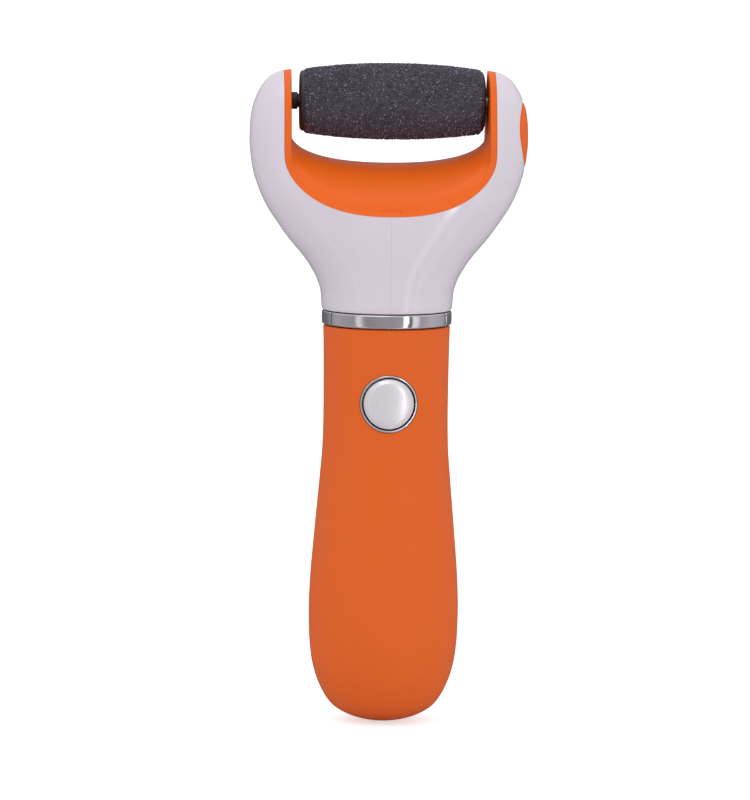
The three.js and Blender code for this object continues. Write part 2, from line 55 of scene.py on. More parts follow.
def linked(name, data):
    """A new object that holds the data, in the scene."""
    made = bpy.data.objects.new(name, data)
    bpy.context.scene.collection.objects.link(made)
    return made


def once_round(count):
    """Equal bearings once round, in radians."""
    return 2 * np.pi * np.arange(count) / count


# %% [markdown]
# ## The camera
# A product shot is taken from far away with a long lens, so that both arms of the fork keep their size.
# The camera stands a little to the left of the front and a little above it, and leans by under a degree.

# %% Camera
CAMERA_AWAY = 1.4
FRAME_TALL = 0.2164


def set_camera(azimuth, elevation, lean, aim):
    turn, rise = math.radians(azimuth), math.radians(elevation)
    back = Vector((math.sin(turn) * math.cos(rise), -math.cos(turn) * math.cos(rise), math.sin(rise)))
    data = bpy.data.cameras.new("camera")
    data.sensor_width = 36.0
    data.lens = data.sensor_width * CAMERA_AWAY / FRAME_TALL
    camera = linked("camera", data)
    camera.location = Vector(aim) + back * CAMERA_AWAY
    camera.rotation_mode = "QUATERNION"
    camera.rotation_quaternion = (-back).to_track_quat("-Z", "Y") @ Quaternion((0, 0, 1), math.radians(lean))
    bpy.context.scene.camera = camera
    return camera


camera = set_camera(-3.0, 6.0, 0.66, (-0.0029, 0.0, 0.0874))
print("camera lens", round(camera.data.lens), "mm")

# %% [markdown]
# ## Light and floor
# The light is a tent: white all round, so shapes are told by gentle shade. A strip that stands on the
# floor to the right draws the soft highlight on the glossy head. Chrome in a white tent would look white,
# so reflections see a tent with grey panels between its lamps and a dark back, while the camera sees plain
# white. The paper floor glows for the camera, and only faintly for the object.

# %% One function that adds a node
def add(tree, kind, inputs=None, **settings):
    node = tree.nodes.new(kind)
    for key, value in settings.items():
        setattr(node, key, value)
    for key, value in (inputs or {}).items():
        if isinstance(value, bpy.types.NodeSocket):
            tree.links.new(value, node.inputs[key])
        else:
            node.inputs[key].default_value = value
    return node


def linear(hex_colour):
    """An sRGB hex colour as the linear RGBA that Blender works in."""
    parts = [int(hex_colour[i:i + 2], 16) / 255 for i in (1, 3, 5)]
    return [c / 12.92 if c <= 0.04045 else ((c + 0.055) / 1.055) ** 2.4 for c in parts] + [1.0]


# %% World, lights, floor
PANELS = [  # bearing in degrees from the front, towards +X, and how bright the tent is there
    (-180, 0.12), (-140, 0.2), (-104, 0.52), (-75, 0.44), (-62, 0.45), (-57, 0.95), (-51, 0.95), (-45, 0.5),
    (-38, 0.36), (-10, 0.42), (10, 0.42), (20, 0.45), (26, 0.5), (29, 1.9), (34, 1.9), (37, 0.2), (42, 0.2),
    (46, 1.05), (54, 1.0), (60, 0.46), (85, 0.62), (112, 0.52), (140, 0.18), (180, 0.12),
]
# The ramp and the roof hold shares of this, and the background's strength brings them back up.
BRIGHTEST = 3.0
ROOF_GREY = (0.3, 0.29, 0.3, 1)
SHADE_WHITE, SHADE_STRENGTH = (0.97, 0.96, 1, 1), 1.13
FLOOR_GLOW_FOR_OBJECT, FLOOR_GLOW_FOR_CAMERA = 0.15, 0.6


def studio_world():
    world = bpy.data.worlds.new("light_tent")
    world.use_nodes = True
    tree = world.node_tree
    tree.nodes.clear()
    way = add(tree, "ShaderNodeTexCoord").outputs["Generated"]
    parts = add(tree, "ShaderNodeSeparateXYZ", {"Vector": way}).outputs
    front = add(tree, "ShaderNodeMath", {0: parts["Y"], 1: -1.0}, operation="MULTIPLY").outputs[0]
    bearing = add(tree, "ShaderNodeMath", {0: parts["X"], 1: front}, operation="ARCTAN2").outputs[0]
    place = add(tree, "ShaderNodeMapRange", {"Value": bearing, "From Min": -math.pi, "From Max": math.pi})
    band = add(tree, "ShaderNodeValToRGB", {"Fac": place.outputs["Result"]})
    ramp = band.color_ramp
    while len(ramp.elements) < len(PANELS):
        ramp.elements.new(0.5)
    for element, (degrees, grey) in zip(ramp.elements, PANELS):
        element.position = degrees / 360 + 0.5
        element.color = (grey / BRIGHTEST, grey * 0.97 / BRIGHTEST, grey / BRIGHTEST, 1)
    height = add(tree, "ShaderNodeMapRange", {"Value": parts["Z"], "From Min": 0.15, "From Max": 0.6})
    roof = add(tree, "ShaderNodeMix", {
        "Factor": height.outputs["Result"], 6: band.outputs["Color"], 7: ROOF_GREY}, data_type="RGBA")
    mirrored = add(tree, "ShaderNodeBackground", {"Color": roof.outputs[2], "Strength": BRIGHTEST}).outputs[0]
    shade = add(tree, "ShaderNodeBackground", {"Color": SHADE_WHITE, "Strength": SHADE_STRENGTH}).outputs[0]
    white = add(tree, "ShaderNodeBackground", {"Color": (1, 1, 1, 1), "Strength": 1.0}).outputs[0]
    path = add(tree, "ShaderNodeLightPath").outputs
    seen = add(tree, "ShaderNodeMixShader", {0: path["Is Glossy Ray"], 1: shade, 2: mirrored}).outputs[0]
    seen = add(tree, "ShaderNodeMixShader", {0: path["Is Camera Ray"], 1: seen, 2: white}).outputs[0]
    add(tree, "ShaderNodeOutputWorld", {"Surface": seen})
    bpy.context.scene.world = world


def softbox(name, place, size, watts):
    data = bpy.data.lights.new(name, "AREA")
    data.shape = "RECTANGLE"
    data.size, data.size_y = size
    data.energy = watts
    light = linked(name, data)
    light.location = place
    light.rotation_euler = (Vector((0, 0, 0.1)) - Vector(place)).to_track_quat("-Z", "Y").to_euler()


bpy.context.scene.view_settings.view_transform = "Standard"
studio_world()
softbox("standing_strip", (0.40, -0.60, 0.16), (0.05, 0.32), 0.42)
softbox("top_fill", (-0.3, -0.4, 1.2), (0.8, 0.8), 2.4)
floor_mesh = bpy.data.meshes.new("floor")
floor_mesh.from_pydata([(-30, -30, 0), (30, -30, 0), (30, 30, 0), (-30, 30, 0)], [], [(0, 1, 2, 3)])
floor = linked("floor", floor_mesh)
floor_mat = bpy.data.materials.new("matt_white_paper_sweep")
floor_mat.use_nodes = True
paper = floor_mat.node_tree.nodes["Principled BSDF"]
for socket, value in (("Base Color", linear("#d2d2d2")), ("Roughness", 1.0), ("Specular IOR Level", 0.0),
                      ("Emission Color", (1, 1, 1, 1))):
    paper.inputs[socket].default_value = value
glow = add(floor_mat.node_tree, "ShaderNodeMapRange", {
    "Value": add(floor_mat.node_tree, "ShaderNodeLightPath").outputs["Is Camera Ray"],
    "To Min": FLOOR_GLOW_FOR_OBJECT, "To Max": FLOOR_GLOW_FOR_CAMERA})
floor_mat.node_tree.links.new(glow.outputs["Result"], paper.inputs["Emission Strength"])
floor_mesh.materials.append(floor_mat)
floor.visible_glossy = False
print("studio ready")

# %% [markdown]
# ## Finishes
# Most of the object is moulded plastic, and a mould leaves its own skin: a fine grain, a faint mottle of
# tone and small changes of gloss. One recipe makes all of them, told by the colour, the width of the grain
# in millimetres, its depth and how glossy the skin is. Object coordinates are in metres, so a grain of
# w millimetres is a noise of scale 1000 / w.

# %% The recipe for a solid finish
def solid_finish(name, colour, rough, grain_mm, depth_mm, mottle, metallic=0.0, gloss_shift=0.06, **sockets):
    mat = bpy.data.materials.new(name)
    mat.use_nodes = True
    tree = mat.node_tree
    shader = tree.nodes["Principled BSDF"]
    place = add(tree, "ShaderNodeTexCoord").outputs["Object"]
    grain = add(tree, "ShaderNodeTexNoise", {"Vector": place, "Scale": 1000 / grain_mm, "Detail": 3.0})
    cloud = add(tree, "ShaderNodeTexNoise", {"Vector": place, "Scale": 130.0, "Detail": 4.0})
    base = np.array(linear(colour))
    tone = add(tree, "ShaderNodeValToRGB", {"Fac": cloud.outputs["Fac"]})
    tone.color_ramp.elements[0].position, tone.color_ramp.elements[1].position = 0.3, 0.7
    tone.color_ramp.elements[0].color = [*(base[:3] * (1 - mottle)), 1]
    tone.color_ramp.elements[1].color = [*np.minimum(base[:3] * (1 + mottle), 1), 1]
    gloss = add(tree, "ShaderNodeMapRange", {
        "Value": grain.outputs["Fac"], "From Min": 0.3, "From Max": 0.7,
        "To Min": max(rough - gloss_shift, 0.02), "To Max": rough + gloss_shift})
    bump = add(tree, "ShaderNodeBump", {
        "Height": grain.outputs["Fac"], "Distance": depth_mm * MM, "Strength": 1.0})
    for socket, source in (("Base Color", tone.outputs["Color"]), ("Roughness", gloss.outputs["Result"]),
                           ("Normal", bump.outputs["Normal"])):
        tree.links.new(source, shader.inputs[socket])
    shader.inputs["Metallic"].default_value = metallic
    for socket, value in sockets.items():
        shader.inputs[socket.replace("_", " ")].default_value = value
    return mat


# %% The finishes
FINISHES = {
    # Soft-touch lacquer on ABS: rubbery and matt, with hardly any reflection.
    "soft_orange": solid_finish("soft_touch_lacquer_orange", "#d35b1a", 0.55, 0.35, 0.012, 0.008,
                                Specular_IOR_Level=0.2),
    # Polished ABS from a mirror-finished mould: glossy, only the faintest orange peel.
    "gloss_white": solid_finish("polished_abs_lilac_white", "#cac3ca", 0.14, 2.5, 0.004, 0.01,
                                gloss_shift=0.02),
    # ABS from a lightly spark-eroded mould: satin.
    "satin_orange": solid_finish("satin_abs_orange", "#db5e14", 0.4, 0.3, 0.01, 0.015,
                                 Specular_IOR_Level=0.2),
    # Chrome plate on ABS: a mirror with tiny waves.
    "chrome": solid_finish("chrome_plate", "#cfcfd4", 0.06, 1.5, 0.002, 0.01, 1.0, 0.02),
    # Silver lacquer with fine flake.
    "silver": solid_finish("silver_lacquer", "#dbd7d9", 0.3, 0.12, 0.004, 0.05, 0.35, 0.08),
    # The dark resin bed that the grains stand in.
    "abrasive": solid_finish("bonded_mineral_grit", "#38333d", 0.8, 0.35, 0.12, 0.25),
    # Carbon-black filled ABS.
    "black_plastic": solid_finish("black_abs", "#231e21", 0.42, 0.25, 0.01, 0.08),
    # Acetal, the slippery white plastic of small gears.
    "white_plastic": solid_finish("natural_acetal", "#e4e1d9", 0.38, 0.6, 0.006, 0.02),
    "steel": solid_finish("drawn_steel", "#b4b5b9", 0.28, 0.2, 0.004, 0.05, 1.0, 0.1),
    "brass": solid_finish("turned_brass", "#c19a52", 0.27, 0.25, 0.004, 0.05, 1.0, 0.08),
    # Heat-shrunk PVC round a cell.
    "cell_wrap": solid_finish("shrink_wrap_green", "#2f6f4f", 0.25, 3.0, 0.01, 0.05),
    "board_green": solid_finish("solder_mask_green", "#1d5a33", 0.3, 1.2, 0.01, 0.12),
}
SLOT_OF = {entry["node"]: entry["material_slot"] for entry in frame["record"]["subparts"]}
for entry in frame["record"]["subparts"]:
    node = frame["nodes"][entry["node"]]
    node.data.materials.clear()
    node.data.materials.append(FINISHES[entry["material_slot"]])
print("finishes:", len(FINISHES))

# %% [markdown]
# ## Sections and smooth tables
# The grip and the head are lofts: oval sections at a list of heights. A moulded surface has no kinks, so
# the widths between the listed heights come from a cubic curve that never overshoots the table.

# %% A curve through a table
def through(table, at):
    """Values of the table's columns at the heights given, by a monotone cubic."""
    table = np.array(table, float)
    x, y = table[:, 0], table[:, 1:]
    run = np.diff(x)[:, None]
    rise = np.diff(y, axis=0) / run
    slope = np.vstack([rise[:1], np.zeros_like(rise[1:]), rise[-1:]])
    same = rise[:-1] * rise[1:] > 0
    w1, w2 = 2 * run[1:] + run[:-1], run[1:] + 2 * run[:-1]
    with np.errstate(divide="ignore", invalid="ignore"):
        mean = (w1 + w2) / (w1 / rise[:-1] + w2 / rise[1:])
    slope[1:-1] = np.where(same, mean, 0)
    at = np.clip(np.atleast_1d(at), x[0], x[-1])
    k = np.clip(np.searchsorted(x, at, side="right") - 1, 0, len(x) - 2)
    h, t = np.diff(x)[k][:, None], ((at - x[k]) / np.diff(x)[k])[:, None]
    return ((1 + 2 * t) * (1 - t) ** 2 * y[k] + t * (1 - t) ** 2 * h * slope[k]
            + t * t * (3 - 2 * t) * y[k + 1] + t * t * (t - 1) * h * slope[k + 1])


def oval(half_wide, half_deep, z, exponent=2.0, count=128):
    """A ring of points on a superellipse, in millimetres."""
    turn = once_round(count)
    c, s = np.cos(turn), np.sin(turn)
    k = (np.abs(c) ** exponent + np.abs(s) ** exponent) ** (-1 / exponent)
    return np.stack([half_wide * k * c, half_deep * k * s, np.full(count, float(z))], 1)


# %% From rings to a mesh object
SAME_POINT = 2e-6  # metres: points nearer to each other than this become one


def make_object(name, verts, faces, material, sharp=35):
    mesh = bpy.data.meshes.new(name)
    mesh.from_pydata([tuple(v) for v in np.asarray(verts) * MM], [], [tuple(f) for f in faces])
    work = bmesh.new()
    work.from_mesh(mesh)
    bmesh.ops.remove_doubles(work, verts=work.verts, dist=SAME_POINT)
    bmesh.ops.recalc_face_normals(work, faces=work.faces)
    work.to_mesh(mesh)
    work.free()
    mesh.shade_smooth()
    mesh.set_sharp_from_angle(angle=math.radians(sharp))
    mesh.materials.append(material)
    return linked(name, mesh)


def grid_faces(rows, cols, around=True, loop=False):
    """Faces of a grid of points; around joins the last column to the first, loop the last row."""
    faces = []
    for r in range(rows if loop else rows - 1):
        for c in range(cols if around else cols - 1):
            r2, c2 = (r + 1) % rows, (c + 1) % cols
            faces.append((r * cols + c, r * cols + c2, r2 * cols + c2, r2 * cols + c))
    return faces


def skin(name, rings, material, sharp=35, loop=False):
    """A surface over equal rings. An end ring of no width is a pole; a wide one is closed flat."""
    rings = [np.asarray(ring) for ring in rings]
    rows, cols = len(rings), len(rings[0])
    faces = grid_faces(rows, cols, loop=loop)
    if not loop:
        for start, ring in ((0, rings[0]), ((rows - 1) * cols, rings[-1])):
            if np.ptp(ring, axis=0).max() > 1e-6:
                faces.append(tuple(range(start, start + cols)))
    return make_object(name, np.vstack(rings), faces, material, sharp)


def bake(piece, sharp=35):
    """Turns what the piece's modifiers make into its plain mesh."""
    bpy.context.view_layer.update()
    mesh = bpy.data.meshes.new_from_object(piece.evaluated_get(bpy.context.evaluated_depsgraph_get()))
    piece.modifiers.clear()
    old, piece.data = piece.data, mesh
    bpy.data.meshes.remove(old)
    if sharp:
        mesh.shade_smooth()
        mesh.set_sharp_from_angle(angle=math.radians(sharp))
    return piece


def carve(piece, tool, how="DIFFERENCE", sharp=35, solver="MANIFOLD"):
    """Cuts piece with tool, or joins them; the tool is used up."""
    cut = piece.modifiers.new("cut", "BOOLEAN")
    cut.object, cut.operation, cut.solver = tool, how, solver
    piece = bake(piece, sharp)
    bpy.data.objects.remove(tool)
    return piece


def carve_all(piece, tools, how="DIFFERENCE"):
    for tool in tools:
        piece = carve(piece, tool, how)
    return piece


def soften(piece, width_mm, steps=3):
    """Rounds every sharp edge of a piece."""
    edge = piece.modifiers.new("edge", "BEVEL")
    edge.width, edge.segments, edge.limit_method = width_mm * MM, steps, "ANGLE"
    edge.angle_limit = math.radians(40)
    return bake(piece)


# %% Turned forms, bars and slabs
def turned(name, axis, u, v, profile, material, sides, sharp=35, loop=False):
    """A lathe form about a line along x, y or z: the profile is a list of (place along it, radius)."""
    turn = once_round(sides)
    rings = []
    for along, radius in profile:
        line = np.full(sides, float(along))
        p, q = u + radius * np.cos(turn), v + radius * np.sin(turn)
        rings.append(np.stack({"x": (line, p, q), "y": (p, line, q), "z": (p, q, line)}[axis], 1))
    return skin(name, rings, material, sharp, loop=loop)


def bar(axis, radius, low, high, u, v, sides=64, chamfer=0.0, name="bar"):
    profile = [(low, radius), (high, radius)]
    if chamfer:
        profile = [(low, radius - chamfer), (low + chamfer, radius),
                   (high - chamfer, radius), (high, radius - chamfer)]
    return turned(name, axis, u, v, profile, FINISHES["steel"], sides)


def slab(name, x0, x1, y0, y1, z0, z1):
    verts = [(x, y, z) for z in (z0, z1) for x, y in ((x0, y0), (x1, y0), (x1, y1), (x0, y1))]
    faces = [(3, 2, 1, 0), (4, 5, 6, 7), (0, 1, 5, 4), (1, 2, 6, 5), (2, 3, 7, 6), (3, 0, 4, 7)]
    return make_object(name, verts, faces, FINISHES["steel"])


def settle(piece, body, slot, *nodes):
    """Puts a finished piece on its body, in place of the CAD nodes it stands for, in its slot's finish."""
    if not piece.data.materials or piece.data.materials[0] is FINISHES["steel"]:
        piece.data.materials.clear()
        piece.data.materials.append(FINISHES[slot])
    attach(piece, body)
    if nodes:
        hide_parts(*nodes)
    print(f"{piece.name}: {len(piece.data.polygons)} faces on {body}")


# %% Places that several pieces share, in millimetres
SWITCH_Z, SWITCH_R = 88.0, 7.0
ROLLER_Z, CROSS_Z, IDLER_LOW_Z, IDLER_HIGH_Z = 168.2, 137.0, 146.6, 157.8
RELEASE_X, RELEASE_Z = 31.8, 160.0
CELL_X, CELL_R = 7.2, 7.0
SCREW_Y = 5.8
print("the roller turns about X at", ROLLER_Z, "mm")

# %% [markdown]
# ## The grip
# On the real object the grip is one moulded sleeve with a closed, rounded bottom end and an open top that
# slides over the battery tray. Its outline swells at the palm and narrows to a waist. The widths are a
# curve over the square root of the height, which keeps the bottom end round. Wall and mouth are modelled,
# because they show when the sleeve is drawn off.

# %% Grip sleeve
GRIP = [  # square root of the height, half width, half depth
    (0.0, 0.0, 0.0), (0.71, 5.2, 5.0), (1.48, 10.4, 9.9), (2.07, 13.7, 12.8), (2.55, 15.5, 14.5),
    (3.0, 16.9, 15.8), (3.61, 18.5, 17.2), (4.24, 19.6, 18.1), (4.9, 20.15, 18.6), (5.57, 20.3, 18.7),
    (6.32, 19.95, 18.5), (7.07, 19.15, 18.0), (7.62, 18.45, 17.6), (8.19, 17.65, 17.15), (8.72, 17.0, 16.9),
    (9.17, 16.85, 16.85), (9.7, 16.9, 16.9), (10.1, 17.0, 17.0), (10.39, 17.15, 17.15),
]
GRIP_WALL, GRIP_TOP, EDGE = 1.8, 107.9, 0.5


def grip_sizes(z):
    """Half width and half depth of the grip at the heights z."""
    return through(GRIP, np.sqrt(np.maximum(z, 0)))


def grip_rings():
    """The sleeve's rings: up the outside, over the rim and down the inside to the floor."""
    heights = np.concatenate([np.linspace(0, 4, 26) ** 2, np.linspace(17.3, GRIP_TOP - EDGE, 74)])
    rings = [oval(a, b, z) for z, (a, b) in zip(heights, grip_sizes(heights))]
    a, b = grip_sizes(GRIP_TOP)[0]
    for turn in np.radians([30, 60, 90]):
        inset = EDGE * (1 - math.cos(turn))
        rings.append(oval(a - inset, b - inset, GRIP_TOP - EDGE + EDGE * math.sin(turn)))
    inner = np.concatenate([np.linspace(GRIP_TOP, 20, 40), np.linspace(4.4, 1.9, 14) ** 2])
    sizes = np.maximum(grip_sizes(inner) - GRIP_WALL, 0.0)
    rings += [oval(a, b, z) for z, (a, b) in zip(inner, sizes)]
    rings.append(oval(0, 0, 3.4))
    return rings


grip = skin("grip_sleeve", grip_rings(), FINISHES["soft_orange"], 40)
grip = carve(grip, bar("y", SWITCH_R + 0.82, -30, -8, 0, SWITCH_Z, 96), sharp=40)
settle(grip, "handle", "soft_orange", "handle_sleeve")

# %% [markdown]
# ## The power button
# A thin plated ring frames a round cap with a bright bevel. Both follow the grip's curve, so their depth
# at each point is taken from the grip's own section, and a profile says how proud each ring stands.

# %% Bezel and cap
def on_grip(radius, proud):
    """A ring of the given radius about the switch, laid on the grip's front and lifted by proud."""
    turn = once_round(96)
    x, z = radius * np.cos(turn), SWITCH_Z + radius * np.sin(turn)
    a, b = grip_sizes(z).T
    return np.stack([x, -b * np.sqrt(1 - (x / a) ** 2) - proud, z], 1)


bezel_profile = [(7.15, -1.5), (7.15, 0.12), (7.2, 0.22), (7.32, 0.28), (7.5, 0.28), (7.64, 0.2),
                 (7.72, 0.05), (7.75, -0.2), (7.75, -1.5)]
bezel = skin("switch_ring", [on_grip(r, p) for r, p in bezel_profile], FINISHES["chrome"], 50, loop=True)
settle(bezel, "handle", "chrome", "switch_bezel")
STEM_R, STEM_END = 1.5, -15.2
cap_profile = [(0, 0.72), (1.5, 0.72), (3.0, 0.71), (4.5, 0.69), (5.5, 0.66), (5.62, 0.63), (5.75, 0.52),
               (6.4, 0.12), (6.6, -0.02), (6.72, -0.14), (6.76, -0.3), (6.76, -1.0), (5.0, -1.0),
               (STEM_R, -1.0)]
stem = on_grip(STEM_R, 0)
stem[:, 1] = STEM_END
tip = np.tile([0.0, STEM_END, SWITCH_Z], (len(stem), 1))
cap = skin("power_cap", [on_grip(r, p) for r, p in cap_profile] + [stem, tip], FINISHES["silver"], 50)
settle(cap, "power_button", "silver", "power_button")

# %% [markdown]
# ## The head's outer form
# The two white halves and the orange cradle all share one outer form, a loft that widens from the round
# neck into a flat oval fork. The cradle's floor is a saddle: it arches from front to back and dishes from
# side to side. Both are functions here, so each piece is cut or fitted to the same two surfaces.

# %% Head form and saddle
HEAD = [  # height, half width, half depth, exponent of the oval
    (112.2, 17.35, 17.35, 2.0), (112.45, 17.58, 17.58, 2.0), (113.0, 17.65, 17.65, 2.0),
    (117.0, 18.0, 17.9, 2.02), (120.2, 19.0, 18.2, 2.06), (123.4, 20.7, 18.5, 2.1),
    (126.6, 22.9, 18.8, 2.15), (130.0, 25.8, 19.0, 2.2), (133.2, 28.3, 19.1, 2.25),
    (136.4, 30.5, 19.1, 2.3), (139.6, 32.6, 19.0, 2.35), (142.8, 34.2, 18.7, 2.4),
    (146.1, 35.5, 18.2, 2.4), (149.4, 36.5, 17.5, 2.4), (153.0, 37.1, 16.6, 2.4), (158.0, 37.5, 15.3, 2.4),
    (162.0, 37.4, 14.3, 2.4), (166.0, 36.9, 13.2, 2.35), (169.2, 35.9, 12.1, 2.3), (172.0, 34.5, 10.6, 2.2),
    (174.0, 33.0, 8.8, 2.1), (175.4, 31.2, 6.5, 2.0), (176.1, 29.6, 4.6, 2.0), (176.5, 27.9, 2.6, 2.0),
    (176.65, 26.8, 0.9, 2.0),
]
HEAD_BOTTOM, HEAD_ROUNDS, HEAD_TOP = HEAD[0][0], 170.0, HEAD[-1][0]
SHELL_WALL, SEAM, FIT = 2.1, 0.012, 0.07
CRADLE_IN, CRADLE_WALL, CREST = 26.4, 2.0, 151.7
ARM_FOOT = 160
BEYOND, ABOVE = 21, 190  # further out than the head is deep, and higher than it is tall


def head_form(name, inset=0.0, low=HEAD_BOTTOM, rows=110, count=144):
    """The head's outer form, or with an inset the hollow inside it. Rings crowd where the top rounds over."""
    crowded = HEAD_ROUNDS + (1 - (1 - np.linspace(0, 1, 26)[1:]) ** 2) * (HEAD_TOP - HEAD_ROUNDS)
    heights = np.concatenate([np.linspace(low, HEAD_ROUNDS, rows), crowded])
    rings = []
    for z in heights:
        a, b, e = through(HEAD, z)[0]
        shrink = inset * (1 - 0.25 * max(z - ARM_FOOT, 0) / 16)
        top = ARM_FOOT + (z - ARM_FOOT) * 0.93 if z > ARM_FOOT and inset else z
        rings.append(oval(max(a - shrink, 0.5), max(b - shrink, 0.05), top, e, count))
    return skin(name, rings, FINISHES["gloss_white"], 60)


def saddle(x, y, grow):
    """Height of the cradle's floor at x, y, less grow: low in the middle, high at the foot of the arms."""
    s = np.minimum((np.abs(y) / 18.0) ** 2, 1.35)
    low, high, power = CREST - 10.2 * s, ARM_FOOT - 5.2 * s, 2.3 + 1.5 * s
    u = np.clip(np.abs(x) / CRADLE_IN, 0, 1)
    return low + (high - low) * (1 - (1 - u ** power) ** (1 / power)) - grow


def fork_gap(name, grow):
    """The space over the saddle, as a closed block to cut with."""
    rings = []
    for y in np.linspace(-BEYOND, BEYOND, 57):
        w = np.sin(np.linspace(-np.pi / 2, np.pi / 2, 81))
        x = (CRADLE_IN + grow) * w
        z = saddle(CRADLE_IN * w, y, grow)
        ring = np.stack([x, np.full(81, y), z], 1)
        rings.append(np.vstack([ring, [(CRADLE_IN + grow, y, ABOVE), (-CRADLE_IN - grow, y, ABOVE)]]))
    return skin(name, rings, FINISHES["gloss_white"], 60)


# %% [markdown]
# ## The white halves
# The shell is moulded as a left and a right half that meet along the middle of the front and the back.
# Each half is the outer form, hollowed, with the fork gap cut out of it and the other side cut off. The
# right half also has the oval opening for the roller release.

# %% Head shell halves
OPENING = 6.95, 149.3, 169.1  # half width, lowest and highest point


def oval_bar(name, half_y, low, high, x0, x1):
    """An upright oval, drawn out along x, to cut with."""
    sides = 96
    turn = once_round(sides)
    y, z = half_y * np.cos(turn), (low + high) / 2 + (high - low) / 2 * np.sin(turn)
    return skin(name, [np.stack([np.full(sides, x), y, z], 1) for x in (x0, x1)], FINISHES["steel"])


def head_half(name, side):
    """Half of the shell. The right one has the release's opening, the left one room for the output gear."""
    half = head_form(name)
    half = carve(half, head_form("hollow", SHELL_WALL, HEAD_BOTTOM - 0.7, 60, 96))
    half = carve(half, fork_gap("gap", CRADLE_WALL + FIT))
    seam = SEAM * side
    keep = slab("keep", *((seam, 60) if side > 0 else (-60, seam)), -40, 40, 100, ABOVE)
    half = carve(half, keep, "INTERSECT")
    if side > 0:
        half = carve(half, oval_bar("opening", *OPENING, 30.4, 45))
    else:
        half = carve(half, bar("x", 5.3, -31.4, -28, 0, ROLLER_Z))
    return half


settle(head_half("head_half_left", -1), "head_unit", "gloss_white", "head_shell_left")
settle(head_half("head_half_right", 1), "head_unit", "gloss_white", "head_shell_right")

# %% [markdown]
# ## The orange cradle
# The cradle lines the fork. It is one sheet that starts as a point at the top of the left arm, runs down
# the arm, across the saddle and up the right arm. Each line across it, front to back, ends where it meets
# the head's outer form, found by halving. That gives an exact lip, and the upper sheet bends down to it.

# %% Cradle sheet
def outside(x, y, z):
    """Whether a point lies outside the head's outer form."""
    a, b, e = through(HEAD, z)[0]
    return (abs(x) / a) ** e + (abs(y) / b) ** e > 1 or z > HEAD_TOP


def halve(low, high, is_out):
    """The place between low and high beyond which is_out holds."""
    for _ in range(26):
        mid = (low + high) / 2
        low, high = (low, mid) if is_out(mid) else (mid, high)
    return low


def cradle_line(q, grow, tip):
    """The function y -> (x, z) for the line at q, from -1 (left tip) to 1 (right tip)."""
    share, wall = 0.36, CRADLE_IN + grow
    if abs(q) >= 1 - share:
        t = ((1 - abs(q)) / share) ** 1.6
        return lambda y: (math.copysign(wall, q), tip - (tip - float(saddle(CRADLE_IN, y, grow))) * t)
    w = math.sin(math.pi / 2 * q / (1 - share))
    return lambda y: (wall * w, float(saddle(CRADLE_IN * w, y, grow)))


# Distance from the lip of the columns next to it, as seen along the surface.
LIP_STEPS = np.array([0, 0.1, 0.25, 0.45, 0.7, 1.0, 1.35, 1.75, 2.2, 2.7, 3.2, 3.8, 4.4, 5.0])
# How far in from the lip the upper sheet begins to bend, and the columns between the two bands of steps.
LIP_BEND, MIDDLE_COLUMNS = 4.5, 24


def cradle_rows(grow):
    tip = halve(HEAD_ROUNDS, HEAD_TOP, lambda z: outside(CRADLE_IN + grow, 0, z))
    rows = []
    for q in np.linspace(-1, 1, 181):
        line = cradle_line(q, grow, tip)
        deep = halve(0, BEYOND, lambda y: outside(line(y)[0], y, line(y)[1]))
        slope = (line(deep)[1] - line(deep * 0.9)[1]) / max(deep * 0.1, 1e-6)
        near = np.minimum(LIP_STEPS / math.hypot(1, slope), deep * np.linspace(0, 0.5, len(LIP_STEPS)))
        y = deep - near
        y = np.concatenate([-y, np.linspace(-y[-1], y[-1], MIDDLE_COLUMNS + 2)[1:-1], y[::-1]])
        rows.append(np.array([(line(abs(v))[0], v, line(abs(v))[1]) for v in y]))
    return np.array(rows)


def make_cradle():
    """The upper sheet bends down to its lip; the lower one lies a wall's width under it."""
    top, under = cradle_rows(0.0), cradle_rows(CRADLE_WALL)
    n = np.cross(np.gradient(top, axis=0), np.gradient(top, axis=1))
    n /= np.maximum(np.linalg.norm(n, axis=2, keepdims=True), 1e-9)
    if n[len(top) // 2, top.shape[1] // 2, 2] < 0:
        n = -n
    away = np.concatenate([LIP_STEPS, np.full(MIDDLE_COLUMNS, 2 * LIP_BEND), LIP_STEPS[::-1]])
    # The lip drops most where the sheet faces up, and not at all at the top of the arms.
    bend = np.clip(1 - away / LIP_BEND, 0, 1) ** 2
    fade = np.clip((top[:, :, 2].max() - top[:, :, 2]) / 3.0, 0, 1)
    drop = bend[None, :] * fade * (0.3 + 1.1 * np.clip(n[:, :, 2], 0, 1))
    top = top - n * drop[:, :, None]
    count, cols = top.shape[:2]
    verts = np.vstack([top.reshape(-1, 3), under.reshape(-1, 3)])
    faces = grid_faces(count, cols, False)
    faces += [tuple(i + count * cols for i in reversed(f)) for f in faces]
    rim = [(0, c) for c in range(cols)] + [(r, cols - 1) for r in range(1, count)]
    rim += [(count - 1, c) for c in range(cols - 2, -1, -1)] + [(r, 0) for r in range(count - 2, 0, -1)]
    for (r1, c1), (r2, c2) in zip(rim, rim[1:] + rim[:1]):
        a, b = r1 * cols + c1, r2 * cols + c2
        faces.append((b, a, a + count * cols, b + count * cols))
    return make_object("cradle", verts, faces, FINISHES["satin_orange"], 40)


